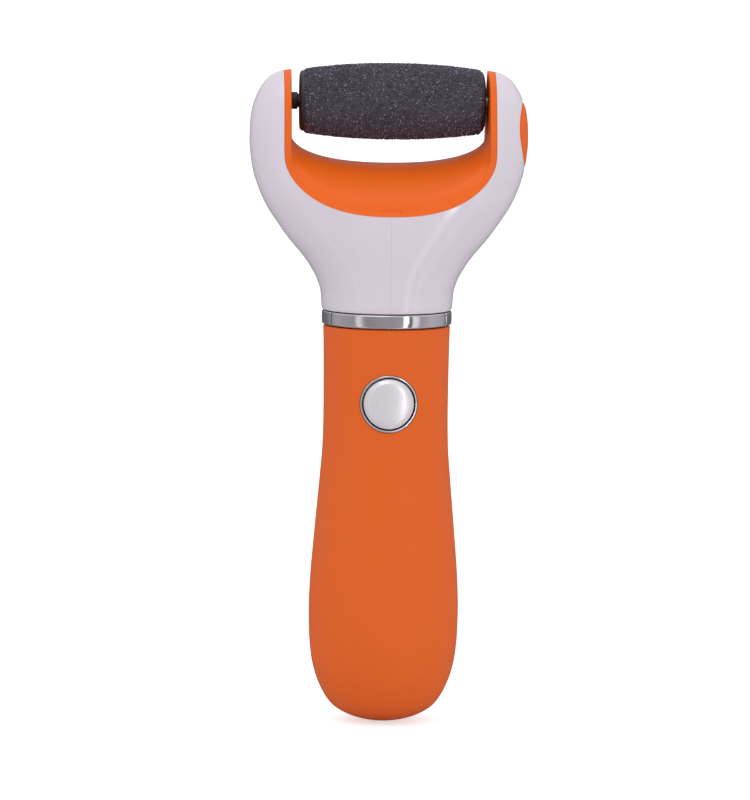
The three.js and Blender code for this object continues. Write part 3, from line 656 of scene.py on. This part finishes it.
def catch_notch(side):
    """A wedge that opens the lip. Its floor leaves a thin web over the lower sheet."""
    half_wide, inner, top, web = 2.5, 18, 141.5, 0.15
    low, further = (float(saddle(0, y, CRADLE_WALL)) + web for y in (inner, inner + 1))
    outline = [(inner, low), (inner, top), (BEYOND, top), (BEYOND, low + (BEYOND - inner) * (further - low))]
    rings = [[(x, side * y, z) for y, z in outline] for x in (-half_wide, half_wide)]
    return skin("notch", rings, FINISHES["steel"])


cradle = make_cradle()
for side in (-1, 1):
    cradle = carve(cradle, catch_notch(side), sharp=40, solver="EXACT")
# Holes for the drive dog, the release pin and the lower idler gear.
cradle_holes = ((2.7, -32, -20, ROLLER_Z), (1.9, 20, 32, ROLLER_Z), (5.9, -31.5, -19.9, IDLER_LOW_Z))
for radius, low, high, z in cradle_holes:
    cradle = carve(cradle, bar("x", radius, low, high, 0, z), sharp=40, solver="EXACT")
settle(cradle, "head_unit", "satin_orange", "roller_cradle")

# %% [markdown]
# ## The neck ring
# The plated band between grip and head is four pieces: a front arc, a back arc and a latch tab on each
# side. All are the same rounded section, swept between two flat cuts, with the edges broken. The cut faces
# are painted black as painted shade for the narrow splits, so the splits show as dark lines.

# %% Ring arcs and latch tabs
# Radius and height, from the inside round to the inside.
RING_SECTION = [(15.5, 108.2), (17.2, 108.2), (17.5, 108.5), (17.58, 110.05), (17.5, 111.6), (17.2, 111.9),
                (15.5, 111.9)]


def ring_piece(name, cut_y, facing):
    """Part of the ring: facing is the way its middle looks, in degrees; its ends are flat at y = cut_y."""
    facing = math.radians(facing)
    on_side = abs(math.cos(facing)) > 0.5
    columns = []
    for r, z in RING_SECTION:
        reach = math.asin(cut_y / r) if on_side else math.acos(cut_y / r)
        turn = facing + reach * np.linspace(-1, 1, 73)
        columns.append(np.stack([r * np.cos(turn), r * np.sin(turn), np.full(73, z)], 1))
    piece = soften(skin(name, np.stack(columns, 1), FINISHES["chrome"]), 0.13)
    # Painted shade: the flat end faces get the black finish, standing in for the shade in the narrow splits
    # between the pieces.
    piece.data.materials.append(FINISHES["black_plastic"])
    for face in piece.data.polygons:
        if abs(face.normal.y) > 0.99 and abs(abs(face.center.y) / MM - cut_y) < 0.01:
            face.material_index = 1
    return piece


for name, node, body, cut_y, facing in (
        ("ring_arc_front", "neck_ring_front", "head_unit", 8.5, -90),
        ("ring_arc_back", "neck_ring_back", "head_unit", 8.5, 90),
        ("ring_tab_left", "latch_tab_left", "latch_tab_left", 8.0, 180),
        ("ring_tab_right", "latch_tab_right", "latch_tab_right", 8.0, 0)):
    settle(ring_piece(name, cut_y, facing), body, "chrome", node)

# %% [markdown]
# ## The roller
# The roller is a barrel of coarse mineral grit, bonded to a sleeve over a plastic core. The grit is grown
# by a geometry tree: points are spread over the barrel at no less than a grain's width apart, a sharp
# twenty-sided grain of random size and turn is set on each, and each keeps a random tone of its own.

# %% Geometry trees
def geometry_tree(name, inputs):
    """An empty geometry tree with named inputs: the tree, its input node and its output node."""
    tree = bpy.data.node_groups.new(name, "GeometryNodeTree")
    tree.interface.new_socket("Geometry", in_out="INPUT", socket_type="NodeSocketGeometry")
    tree.interface.new_socket("Geometry", in_out="OUTPUT", socket_type="NodeSocketGeometry")
    for label, kind in inputs.items():
        tree.interface.new_socket(label, in_out="INPUT", socket_type="NodeSocket" + kind)
    return tree, add(tree, "NodeGroupInput").outputs, add(tree, "NodeGroupOutput").inputs["Geometry"]


def grow(name, tree, values, base=None):
    """Runs a geometry tree on a copy of base, or on nothing, and keeps a plain mesh."""
    mesh = base.data.copy() if base else bpy.data.meshes.new(name)
    made = linked(name, mesh)
    modifier = made.modifiers.new("grow", "NODES")
    modifier.node_group = tree
    for item in tree.interface.items_tree:
        if item.in_out == "INPUT" and item.name in values:
            modifier[item.identifier] = values[item.name]
    return bake(made, None)


# %% Grit
def grit_tree():
    tree, given, out = geometry_tree("bonded_grit", {
        "Spacing": "Float", "Smallest": "Float", "Largest": "Float", "Seed": "Int", "Material": "Material"})
    points = add(tree, "GeometryNodeDistributePointsOnFaces", {
        "Mesh": given["Geometry"], "Distance Min": given["Spacing"], "Density Max": 1.2e7,
        "Seed": given["Seed"]}, distribute_method="POISSON")
    grain = add(tree, "GeometryNodeMeshIcoSphere", {"Radius": 1.0, "Subdivisions": 1}).outputs["Mesh"]
    turn = add(tree, "FunctionNodeRandomValue", {1: (6.28, 6.28, 6.28), "Seed": 3}, data_type="FLOAT_VECTOR")
    low, high = (add(tree, "ShaderNodeCombineXYZ", {i: given[label] for i in range(3)}).outputs[0]
                 for label in ("Smallest", "Largest"))
    size = add(tree, "FunctionNodeRandomValue", {0: low, 1: high, "Seed": 5}, data_type="FLOAT_VECTOR")
    grains = add(tree, "GeometryNodeInstanceOnPoints", {
        "Points": points.outputs["Points"], "Instance": grain, "Rotation": turn.outputs[0],
        "Scale": size.outputs[0]})
    tone = add(tree, "FunctionNodeRandomValue", {"Seed": 7}, data_type="FLOAT")
    toned = add(tree, "GeometryNodeStoreNamedAttribute", {
        "Geometry": grains.outputs[0], "Name": "grain_tone", "Value": tone.outputs[1]},
        data_type="FLOAT", domain="INSTANCE")
    whole = add(tree, "GeometryNodeRealizeInstances", {"Geometry": toned.outputs[0]})
    shown = add(tree, "GeometryNodeSetMaterial", {
        "Geometry": whole.outputs[0], "Material": given["Material"]})
    tree.links.new(shown.outputs[0], out)
    return tree


def grain_finish():
    """Black silicon carbide: each grain has its own grey, and some of them glint."""
    mat = solid_finish("silicon_carbide_grains", "#5b5462", 0.42, 0.2, 0.01, 0.1)
    tree = mat.node_tree
    shader = tree.nodes["Principled BSDF"]
    tone = add(tree, "ShaderNodeAttribute", attribute_name="grain_tone").outputs["Fac"]
    grey = add(tree, "ShaderNodeValToRGB", {"Fac": tone})
    for element, place, colour in zip(grey.color_ramp.elements, (0.0, 1.0), ("#2b2630", "#756f7d")):
        element.position, element.color = place, linear(colour)
    bright = grey.color_ramp.elements.new(0.8)
    bright.color = linear("#564f5c")
    gloss = add(tree, "ShaderNodeMapRange", {"Value": tone, "To Min": 0.6, "To Max": 0.3})
    tree.links.new(grey.outputs["Color"], shader.inputs["Base Color"])
    tree.links.new(gloss.outputs["Result"], shader.inputs["Roughness"])
    return mat


def barrel_profile():
    """The bed's outline: widest at the middle, with a small step down at each end."""
    a, b = -22.7, 24.4
    shares = np.linspace(-1, 1, 60)
    body = [((a + b) / 2 + v * (b - a - 0.8) / 2, 10.1 - 1.55 * abs(v) ** 2.2) for v in shares]
    return [(a, 8.1), (a, 8.4), *body, (b, 8.4), (b, 8.1)]


def on_roller_axis(name, profile, slot, sides=96, loop=False):
    return turned(name, "x", 0, ROLLER_Z, profile, FINISHES[slot], sides, loop=loop)


barrel = on_roller_axis("grit_sleeve_bed", barrel_profile(), "abrasive", 128, True)
grains = grow("grit_grains", grit_tree(), {
    "Spacing": 0.54 * MM, "Smallest": 0.19 * MM, "Largest": 0.37 * MM, "Seed": 11,
    "Material": grain_finish()}, barrel)
settle(barrel, "roller", "abrasive", "grit_sleeve")
settle(grains, "roller", "abrasive", "grit_sleeve")

# %% Core and end caps
core_profile = [(-22.3, 6.4), (-22.4, 6.6), (-22.4, 7.8), (-22.2, 8.0), (23.9, 8.0), (24.1, 7.8), (24.1, 6.6),
                (24.0, 6.4)]
core = on_roller_axis("roller_core_tube", core_profile, "black_plastic", loop=True)
settle(core, "roller", SLOT_OF["roller_core"], "roller_core")
drive_cap_profile = [(-24.1, 0), (-24.1, 7.3), (-24.02, 7.6), (-23.85, 7.9), (-23.55, 8.1), (-23.2, 8.15),
                     (-22.9, 8.15), (-22.9, 6.1), (-18.6, 6.1), (-18.4, 5.9), (-18.4, 0)]
drive_cap = on_roller_axis("drive_cap", drive_cap_profile, "black_plastic")
drive_cap = carve(drive_cap, bar("x", 2.45, -30, -20, 0, ROLLER_Z, 6))
settle(drive_cap, "roller", SLOT_OF["drive_end_cap"], "drive_end_cap")
idle_cap_profile = [(20.2, 0), (20.2, 5.9), (20.4, 6.1), (24.6, 6.1), (24.6, 8.15), (24.85, 8.12),
                    (25.1, 7.95), (25.35, 7.55), (25.6, 6.8), (25.74, 5.9), (25.8, 4.8), (25.8, 2.2),
                    (25.6, 2.0), (25.6, 0)]
idle_cap = on_roller_axis("idle_cap", idle_cap_profile, "black_plastic")
idle_cap = carve(idle_cap, bar("x", 1.9, 23.6, 30, 0, ROLLER_Z))
settle(idle_cap, "roller", SLOT_OF["idle_end_cap"], "idle_end_cap")

# %% Drive dog, release pin and pivot
dog_profile = [(-32.3, 0), (-32.3, 1.1), (-32.1, 1.3), (-28.7, 1.3), (-28.7, 2.2), (-28.58, 2.32),
               (-24.85, 2.32), (-24.65, 2.15), (-24.65, 0)]
dog = on_roller_axis("drive_key", dog_profile, SLOT_OF["drive_dog"], 64)
key_profile = [(-25.2, 0), (-25.2, 2.0), (-21.1, 2.0), (-20.6, 1.5), (-20.6, 0)]
key = on_roller_axis("key", key_profile, SLOT_OF["drive_dog"], 6)
dog = carve(dog, key, "UNION")
settle(dog, "output_drive", SLOT_OF["drive_dog"], "drive_dog")
pin_profile = [(24.4, 0), (24.4, 0.9), (24.55, 1.2), (24.9, 1.5), (30.7, 1.5), (30.7, 2.25), (30.85, 2.4),
               (31.55, 2.4), (31.7, 2.25), (31.7, 0)]
pin = on_roller_axis("roller_pin", pin_profile, "steel", 48)
settle(pin, "release_pin", "steel", "release_pin")
pivot = bar("y", 0.85, -4.8, 4.8, RELEASE_X, RELEASE_Z, 32, 0.15, "rocker_axle")
settle(pivot, "head_unit", "steel", "release_pivot")

# %% [markdown]
# ## The roller release
# The release is a rocker: its oval pad lies in the right arm's outer face and follows it, a rib carries
# it to the pivot, and a fork above the pivot holds the pin's head.

# %% Release rocker
PAD_Z, PAD_HALF_TALL, PAD_HALF_WIDE = 159.4, 9.2, 6.6


def on_arm(share, proud):
    """An oval ring on the right arm's outer face, share of the pad's full size, lifted by proud."""
    turn = once_round(96)
    y, z = PAD_HALF_WIDE * share * np.cos(turn), PAD_Z + PAD_HALF_TALL * share * np.sin(turn)
    a, b, e = through(HEAD, z).T
    return np.stack([a * (1 - np.abs(y / b) ** e) ** (1 / e) + proud, y, z], 1)


pad_profile = [(0, 0.08), (0.2, 0.08), (0.4, 0.08), (0.6, 0.07), (0.75, 0.05), (0.86, 0.02),
               (0.93, -0.06), (0.97, -0.18), (0.99, -0.35), (1.0, -0.6), (1.0, -2.0), (0.8, -2.0),
               (0.4, -2.0), (0, -2.0)]
pad = skin("release_pad", [on_arm(share, p) for share, p in pad_profile], FINISHES["satin_orange"], 50)
# The rib to the pivot, the crossbar, the two prongs of the fork and a stop outside the pin's head.
for corners in ((30.4, 35.9, -1.2, 2.6, 158.4, 164.0), (29.3, 34.8, -3.2, 3.2, 162.1, 164.0),
                (29.3, 30.3, -3.2, -1.9, 163.9, 169.0), (29.3, 30.3, 1.9, 3.2, 163.9, 169.0),
                (32.3, 33.2, -2.4, 2.4, 163.9, 167.8)):
    pad = carve(pad, slab("rib", *corners), "UNION")
pad = carve(pad, bar("y", 1.15, -10, 10, RELEASE_X, RELEASE_Z))
settle(pad, "release_rocker", "satin_orange", "release_button")

# %% [markdown]
# ## Springs
# Every spring is drawn wire on a helix, so one geometry tree makes them all: a spiral of given turns,
# radii and height, swept with a round section, then turned and put in its place.

# %% Springs
def spring_tree():
    tree, given, out = geometry_tree("wound_wire", {
        "Turns": "Float", "First Radius": "Float", "Last Radius": "Float", "Height": "Float", "Wire": "Float",
        "Place": "Vector", "Turned": "Vector", "Material": "Material"})
    spiral = add(tree, "GeometryNodeCurveSpiral", {
        "Resolution": 40, "Rotations": given["Turns"], "Start Radius": given["First Radius"],
        "End Radius": given["Last Radius"], "Height": given["Height"]})
    section = add(tree, "GeometryNodeCurvePrimitiveCircle", {"Resolution": 12, "Radius": given["Wire"]})
    wire = add(tree, "GeometryNodeCurveToMesh", {
        "Curve": spiral.outputs[0], "Profile Curve": section.outputs[0], "Fill Caps": True})
    placed = add(tree, "GeometryNodeTransform", {
        "Geometry": wire.outputs[0], "Translation": given["Place"], "Rotation": given["Turned"]})
    whole = add(tree, "GeometryNodeRealizeInstances", {"Geometry": placed.outputs[0]})
    shown = add(tree, "GeometryNodeSetMaterial", {
        "Geometry": whole.outputs[0], "Material": given["Material"]})
    tree.links.new(shown.outputs[0], out)
    return tree


wound_wire = spring_tree()


def spring(name, node, turns, radii, height, wire, place, turned_by=(0, 0, 0)):
    made = grow(name, wound_wire, {
        "Turns": turns, "First Radius": radii[0] * MM, "Last Radius": radii[1] * MM, "Height": height * MM,
        "Wire": wire * MM, "Place": Vector(place) * MM, "Turned": turned_by, "Material": FINISHES["steel"]})
    made.data.shade_smooth()
    settle(made, "head_unit", "steel", node)


HALF_TURN = math.pi
spring("coil_left", "contact_coil_left", 3.5, (3.9, 2.0), 1.9, 0.22, (-CELL_X, 0, 16.95))
spring("coil_right", "contact_coil_right", 3.5, (3.9, 2.0), 1.9, 0.22, (CELL_X, 0, 70.85), (HALF_TURN, 0, 0))
spring("rocker_spring", "release_spring", 4.0, (1.42, 1.42), 1.3, 0.17, (RELEASE_X, -1.75, RELEASE_Z),
       (HALF_TURN / 2, 0, 0))

# %% [markdown]
# ## Cells, contacts and tray
# Two standard cells stand side by side, one each way up, in a half-round tray with a groove for each. The
# wrap is plain and closes over the shoulder of the can; the plus end has a nub, the minus end a flat disc.

# %% Cells
def cell(name, node, x, up):
    """Profile from the minus end, at 0, to the nub, at 50.5."""
    profile = [(0, 0), (0, 4.3), (0.25, 4.6), (0.32, 5.4), (0.1, 5.7), (0.1, 6.3), (0.35, 6.8), (0.8, 7.0),
               (48.4, 7.0), (48.85, 6.85), (49.1, 6.4), (49.1, 5.5), (48.9, 5.3), (48.85, 3.1), (49.0, 2.75),
               (50.3, 2.6), (50.45, 2.45), (50.5, 2.1), (50.5, 0)]
    base, way = (19.3, 1) if up else (68.3, -1)
    made = turned(name, "z", x, 0, [(base + way * h, r) for h, r in profile], FINISHES["cell_wrap"], 96, 40)
    made.data.materials.append(FINISHES["steel"])
    wrap_ends = 5.45
    for face in made.data.polygons:
        middle = Vector(face.center) / MM - Vector((x, 0, 0))
        if math.hypot(middle.x, middle.y) < wrap_ends:
            face.material_index = 1
    settle(made, "head_unit", "cell_wrap", node)


cell("cell_left", "battery_left", -CELL_X, True)
cell("cell_right", "battery_right", CELL_X, False)


# %% Tray
def make_tray():
    tray = bar("z", 14.5, 13.5, 76, 0, 0, 128, 0.4, "tray")
    cuts = [slab("open", -20, 20, -20, 3.5, 15.5, 72.5), slab("front", -20, 20, -20, -13.4, 0, 80)]
    cuts += [bar("z", CELL_R + 0.3, 16.4, 71.4, x, 0, 96) for x in (-CELL_X, CELL_X)]
    for i in range(5):
        low = 17 + 11.2 * i
        cuts += [slab("pocket", x0, x1, 9.3, 16, low, low + 9.6) for x0, x1 in ((-16, -0.8), (0.8, 16))]
    return carve(carve_all(tray, cuts), slab("tongue", -5, 5, 9.2, 11.4, 75, 97.5), "UNION")


tray = soften(make_tray(), 0.2, 2)
settle(tray, "head_unit", "black_plastic", "battery_tray")

# %% Contact plates
for side, low in ((-1, 70.2), (1, 16.7)):
    name = "left" if side < 0 else "right"
    x = side * CELL_X
    plate = soften(slab(f"end_contact_{name}", x - 4, x + 4, -4, 4, low, low + 0.7), 0.15)
    dimple_profile = [(low + 0.35 + side * h, r) for h, r in ((-0.05, 0), (-0.05, 2.2), (0.4, 1.4), (0.5, 0))]
    dimple = turned("dimple", "z", x, 0, dimple_profile, FINISHES["brass"], 32)
    settle(carve(plate, dimple, "UNION"), "head_unit", "brass", f"contact_plate_{name}")

# %% [markdown]
# ## Board, switch and capacitor
# The board stands in front of the motor's lower end. The switch sits at the height of the power button,
# and its plunger meets the stem of the cap.

# %% Board and switch
board = soften(slab("board", -9, 9, -11.6, -10.4, 76.4, 101), 0.12, 2)
board = carve(board, bar("y", 1.1, -13, -9, 6.5, 98, 48))
settle(board, "head_unit", "board_green", "circuit_board")
switch_can = soften(slab("switch_can", -3.1, 3.1, -13.6, -11.9, SWITCH_Z - 3.1, SWITCH_Z + 3.1), 0.3)
switch_can = carve(switch_can, bar("y", 1.9, -14, -12.3, 0, SWITCH_Z, 48))
settle(switch_can, "head_unit", SLOT_OF["switch_body"], "switch_body")
plunger = bar("y", 1.6, -14.9, -13.5, 0, SWITCH_Z, 48, 0.2, "switch_stem")
settle(plunger, "switch_plunger", "black_plastic", "switch_plunger")
capacitor_profile = [(-13.2, 0), (-13.2, 2.0), (-13.1, 2.2), (-12.9, 2.22), (-12.75, 2.15), (-12.6, 2.3),
                     (-12.45, 2.4), (-12.0, 2.4), (-11.9, 2.3), (-11.9, 0)]
capacitor = turned("capacitor_can", "y", -4.0, 79.8, capacitor_profile, FINISHES["black_plastic"], 48)
settle(capacitor, "head_unit", "black_plastic", "capacitor")

# %% [markdown]
# ## Motor and chassis
# The motor is a round can with two flats. Its end bell closes the bottom, and two screws through the
# chassis floor hold it by the top. The chassis is the cup under the head, with the walls for the gears.

# %% Motor
def flatted(name, radius, flat, heights, material):
    """A can with a flat front and back: heights are (z, how much smaller) from bottom to top."""
    sides = 144
    turn = once_round(sides)
    rings = []
    for z, less in heights:
        r = max(radius - less, 0.0)
        y = np.clip(r * np.sin(turn), -max(flat - less, 0), max(flat - less, 0))
        rings.append(np.stack([r * np.cos(turn), y, np.full(sides, float(z))], 1))
    return skin(name, rings, material)


can_heights = [(93, 10), (93, 0.5), (93.15, 0.15), (93.5, 0), (95.0, 0), (95.15, 0.12), (95.5, 0.12),
               (95.65, 0), (123.0, 0), (123.5, 0.15), (123.8, 0.5), (123.9, 0.9), (123.9, 10)]
can = flatted("motor_can_body", 10, 7.7, can_heights, FINISHES["steel"])
can = carve(can, bar("z", 3, 123.5, 125.3, 0, 0, 64, 0.2), "UNION")
for u, v, r in ((0, 0, 1.3), (0, -SCREW_Y, 1.25), (0, SCREW_Y, 1.25)):
    can = carve(can, bar("z", r, 121.8, 127, u, v, 40))
settle(can, "head_unit", "steel", "motor_can")
bell_heights = [(90.2, 9.6), (90.2, 0.8), (90.4, 0.3), (90.8, 0), (92.5, 0), (92.7, 0.2), (92.7, 9.6)]
bell = flatted("motor_bell", 9.6, 7.4, bell_heights, FINISHES["black_plastic"])
for side in (-1, 1):
    x0, x1 = sorted((side * 6.6, side * 7.4))
    bell = carve(bell, slab("tag", x0, x1, -2, 2, 87, 90.8), "UNION")
settle(bell, "head_unit", "black_plastic", "motor_end_bell")


def motor_screw(name, node, y):
    head = [(122.0, 0), (122.0, 0.7), (122.3, 0.95), (126.1, 0.95), (126.1, 1.8), (126.2, 1.9), (126.6, 1.9),
            (126.95, 1.6), (127.15, 1.0), (127.2, 0)]
    screw = turned(name, "z", 0, y, head, FINISHES["steel"], 48)
    screw = carve(screw, slab("slot", -1.2, 1.2, y - 0.25, y + 0.25, 126.6, 128))
    screw = carve(screw, slab("slot", -0.25, 0.25, y - 1.2, y + 1.2, 126.6, 128))
    settle(screw, "head_unit", "steel", node)


motor_screw("screw_front", "motor_screw_front", -SCREW_Y)
motor_screw("screw_back", "motor_screw_back", SCREW_Y)


# %% Chassis
def make_chassis():
    body = bar("z", 14.3, 96, 125.8, 0, 0, 128, 0.4, "chassis_cup")
    walls = [(-18.4, 8, -3.8, 3.8, 124.3, 125.8), (-18.4, -16.6, -3.8, 3.8, 124.3, 149.0),
             (5.5, 7.3, -4.5, 4.5, 124.3, 141.0), (-18.4, -12.5, -0.8, 0.8, 124.3, 131.0)]
    body = carve_all(body, [slab("wall", *corners) for corners in walls], "UNION")
    tools = [bar("z", 12.9, 90, 124.2, 0, 0, 128), bar("z", 3.3, 120, 130, 0, 0),
             slab("front", -11, 11, -20, -9, 90, 102), slab("back", -5.4, 5.4, 8.9, 20, 90, 98.2)]
    tools += [bar("z", 1.3, 120, 130, 0, y, 40) for y in (-SCREW_Y, SCREW_Y)]
    tools += [bar("x", 2.8, x - 2, x + 2, 0, CROSS_Z) for x in (-17.5, 6.4)]
    tools.append(bar("x", 1.5, -19, -16, 0, IDLER_LOW_Z))
    return carve_all(body, tools)


chassis = soften(make_chassis(), 0.15, 2)
settle(chassis, "head_unit", SLOT_OF["chassis"], "chassis")

# %% [markdown]
# ## The gear train
# A brass pinion on the motor shaft turns a crown gear, a cross shaft carries the turn into the left arm,
# and three spur gears climb the arm to the drive dog. Flanks are curved from root to tip, and every tooth
# has its edges broken, as moulded gears have.

# %% Gear outlines
ACETAL = FINISHES["white_plastic"]
SPUR_MODULE, PINION_MODULE = 0.8, 0.6


def flank(module, share):
    """Radius beyond the pitch circle, and the tooth's width as a share of that on the pitch circle."""
    reach = module * (-1.15 + 2.0 * share)
    width = np.interp(reach / module, [-1.15, -0.6, 0, 0.5, 0.85], [1.45, 1.16, 1.0, 0.74, 0.42])
    return reach, width


def gear_outline(teeth, module, tooth_on_top):
    """Radius and bearing of the points round a gear. A tooth stands at the quarter turn, or else a gap."""
    pitch = teeth * module / 2
    half = 1.25 * module / 2 / pitch
    outline = []
    for tooth in range(teeth):
        middle = math.pi / 2 + (tooth + (0 if tooth_on_top else 0.5)) * 2 * math.pi / teeth
        sides = [flank(module, s) for s in np.linspace(0, 1, 6)]
        outline += [(pitch + reach, middle - half * width) for reach, width in sides]
        outline += [(pitch + reach, middle + half * width) for reach, width in reversed(sides)]
    r, turn = np.array(outline).T
    return r, turn


def spur(name, teeth, low, high, z, tooth_on_top, bore):
    """A spur gear about X: its rings shrink a little at both faces."""
    broken = 0.12
    r, turn = gear_outline(teeth, SPUR_MODULE, tooth_on_top)
    rings = [np.stack([np.full(len(r), x), (r - less) * np.cos(turn), z + (r - less) * np.sin(turn)], 1)
             for x, less in ((low, broken), (low + broken, 0), (high - broken, 0), (high, broken))]
    return carve(skin(name, rings, ACETAL), bar("x", bore, low - 1, high + 1, 0, z))


for name, node, body, teeth, low, high, z, tooth_on_top, bore in (
        ("gear_output", "output_gear", "output_drive", 10, -31.0, -29.0, ROLLER_Z, True, 1.6),
        ("gear_idler_high", "idler_gear_upper", "idler_upper", 16, -31.1, -29.0, IDLER_HIGH_Z, False, 1.5),
        ("gear_idler_low", "idler_gear_lower", "idler_lower", 12, -31.1, -20.3, IDLER_LOW_Z, True, 1.5),
        ("gear_cross", "cross_spur", "cross_drive", 12, -24.0, -20.0, CROSS_Z, False, 1.4)):
    settle(spur(name, teeth, low, high, z, tooth_on_top, bore), body, SLOT_OF[node], node)


# %% Crown gear, pinion, shafts and bushes
def make_crown():
    root, tip, pitch, teeth = -3.85, -2.5, 7.8, 26
    disc = [(-6.4, 0), (-6.4, 8.3), (-6.2, 8.5), (root, 8.5), (root, 2.6), (root + 1.1, 2.6),
            (root + 1.2, 2.5), (root + 1.2, 0)]
    crown = turned("gear_crown", "x", 0, CROSS_Z, disc, ACETAL, 104)
    for tooth in range(teeth):
        turn = 2 * math.pi * tooth / teeth - math.pi / 2
        out, side = np.array([math.cos(turn), math.sin(turn)]), np.array([-math.sin(turn), math.cos(turn)])
        rings = []
        for radius in (pitch - 0.65, pitch - 0.53, pitch + 0.53, pitch + 0.65):
            less = 0.06 if abs(radius - pitch) > 0.6 else 0
            ring = [(x, *(out * radius + side * (w - math.copysign(less, w)) + (0, CROSS_Z)))
                    for x, w in ((root - 0.2, -0.58), (tip - 0.3, -0.34), (tip, -0.22), (tip, 0.22),
                                 (tip - 0.3, 0.34), (root - 0.2, 0.58))]
            rings.append(np.array(ring))
        crown = carve(crown, skin("tooth", rings, ACETAL), "UNION")
    return carve(crown, bar("x", 1.4, -12, 0, 0, CROSS_Z))


settle(make_crown(), "cross_drive", SLOT_OF["crown_gear"], "crown_gear")


def make_pinion():
    r, turn = gear_outline(10, PINION_MODULE, True)
    rings = [np.stack([(r - less) * np.cos(turn), (r - less) * np.sin(turn), np.full(len(r), z)], 1)
             for z, less in ((127.1, 0.1), (127.2, 0), (131.2, 0), (131.3, 0.1))]
    pinion = skin("pinion", rings, FINISHES["brass"])
    return carve(pinion, bar("z", 1.0, 122.4, 127.5, 0, 0, 40, 0.1), "UNION")


settle(make_pinion(), "motor_rotor", SLOT_OF["motor_shaft"], "motor_shaft")
for name, node, body, r, low, high, z in (
        ("axle_cross", "cross_shaft", "cross_drive", 1.1, -24.6, 9.2, CROSS_Z),
        ("axle_low", "idler_pin_lower", "head_unit", 1.2, -32.3, -16.8, IDLER_LOW_Z),
        ("axle_high", "idler_pin_upper", "head_unit", 1.2, -32.3, -28.8, IDLER_HIGH_Z)):
    settle(bar("x", r, low, high, 0, z, 48, 0.15, name), body, SLOT_OF[node], node)
for name, x in (("left", -17.5), ("right", 6.4)):
    sleeve = [(x - 0.9, 1.55), (x - 0.9, 2.35), (x - 0.75, 2.5),
              (x + 0.75, 2.5), (x + 0.9, 2.35), (x + 0.9, 1.55)]
    made = turned(f"sleeve_bush_{name}", "x", 0, CROSS_Z, sleeve, FINISHES["brass"], 64, loop=True)
    settle(made, "head_unit", "brass", f"bush_{name}")

# %% Gear plate
plate = soften(slab("gear_bridge", -32.4, -31.4, -2, 2, IDLER_LOW_Z, ROLLER_Z), 0.15, 2)
for r, z in ((2.0, IDLER_LOW_Z), (4.6, IDLER_HIGH_Z), (2.5, ROLLER_Z)):
    plate = carve(plate, bar("x", r, -32.4, -31.4, 0, z, 64, 0.12), "UNION")
for r, z in ((1.45, IDLER_LOW_Z), (1.45, IDLER_HIGH_Z), (1.6, ROLLER_Z)):
    plate = carve(plate, bar("x", r, -34, -30, 0, z, 48))
settle(plate, "head_unit", SLOT_OF["gear_plate"], "gear_plate")
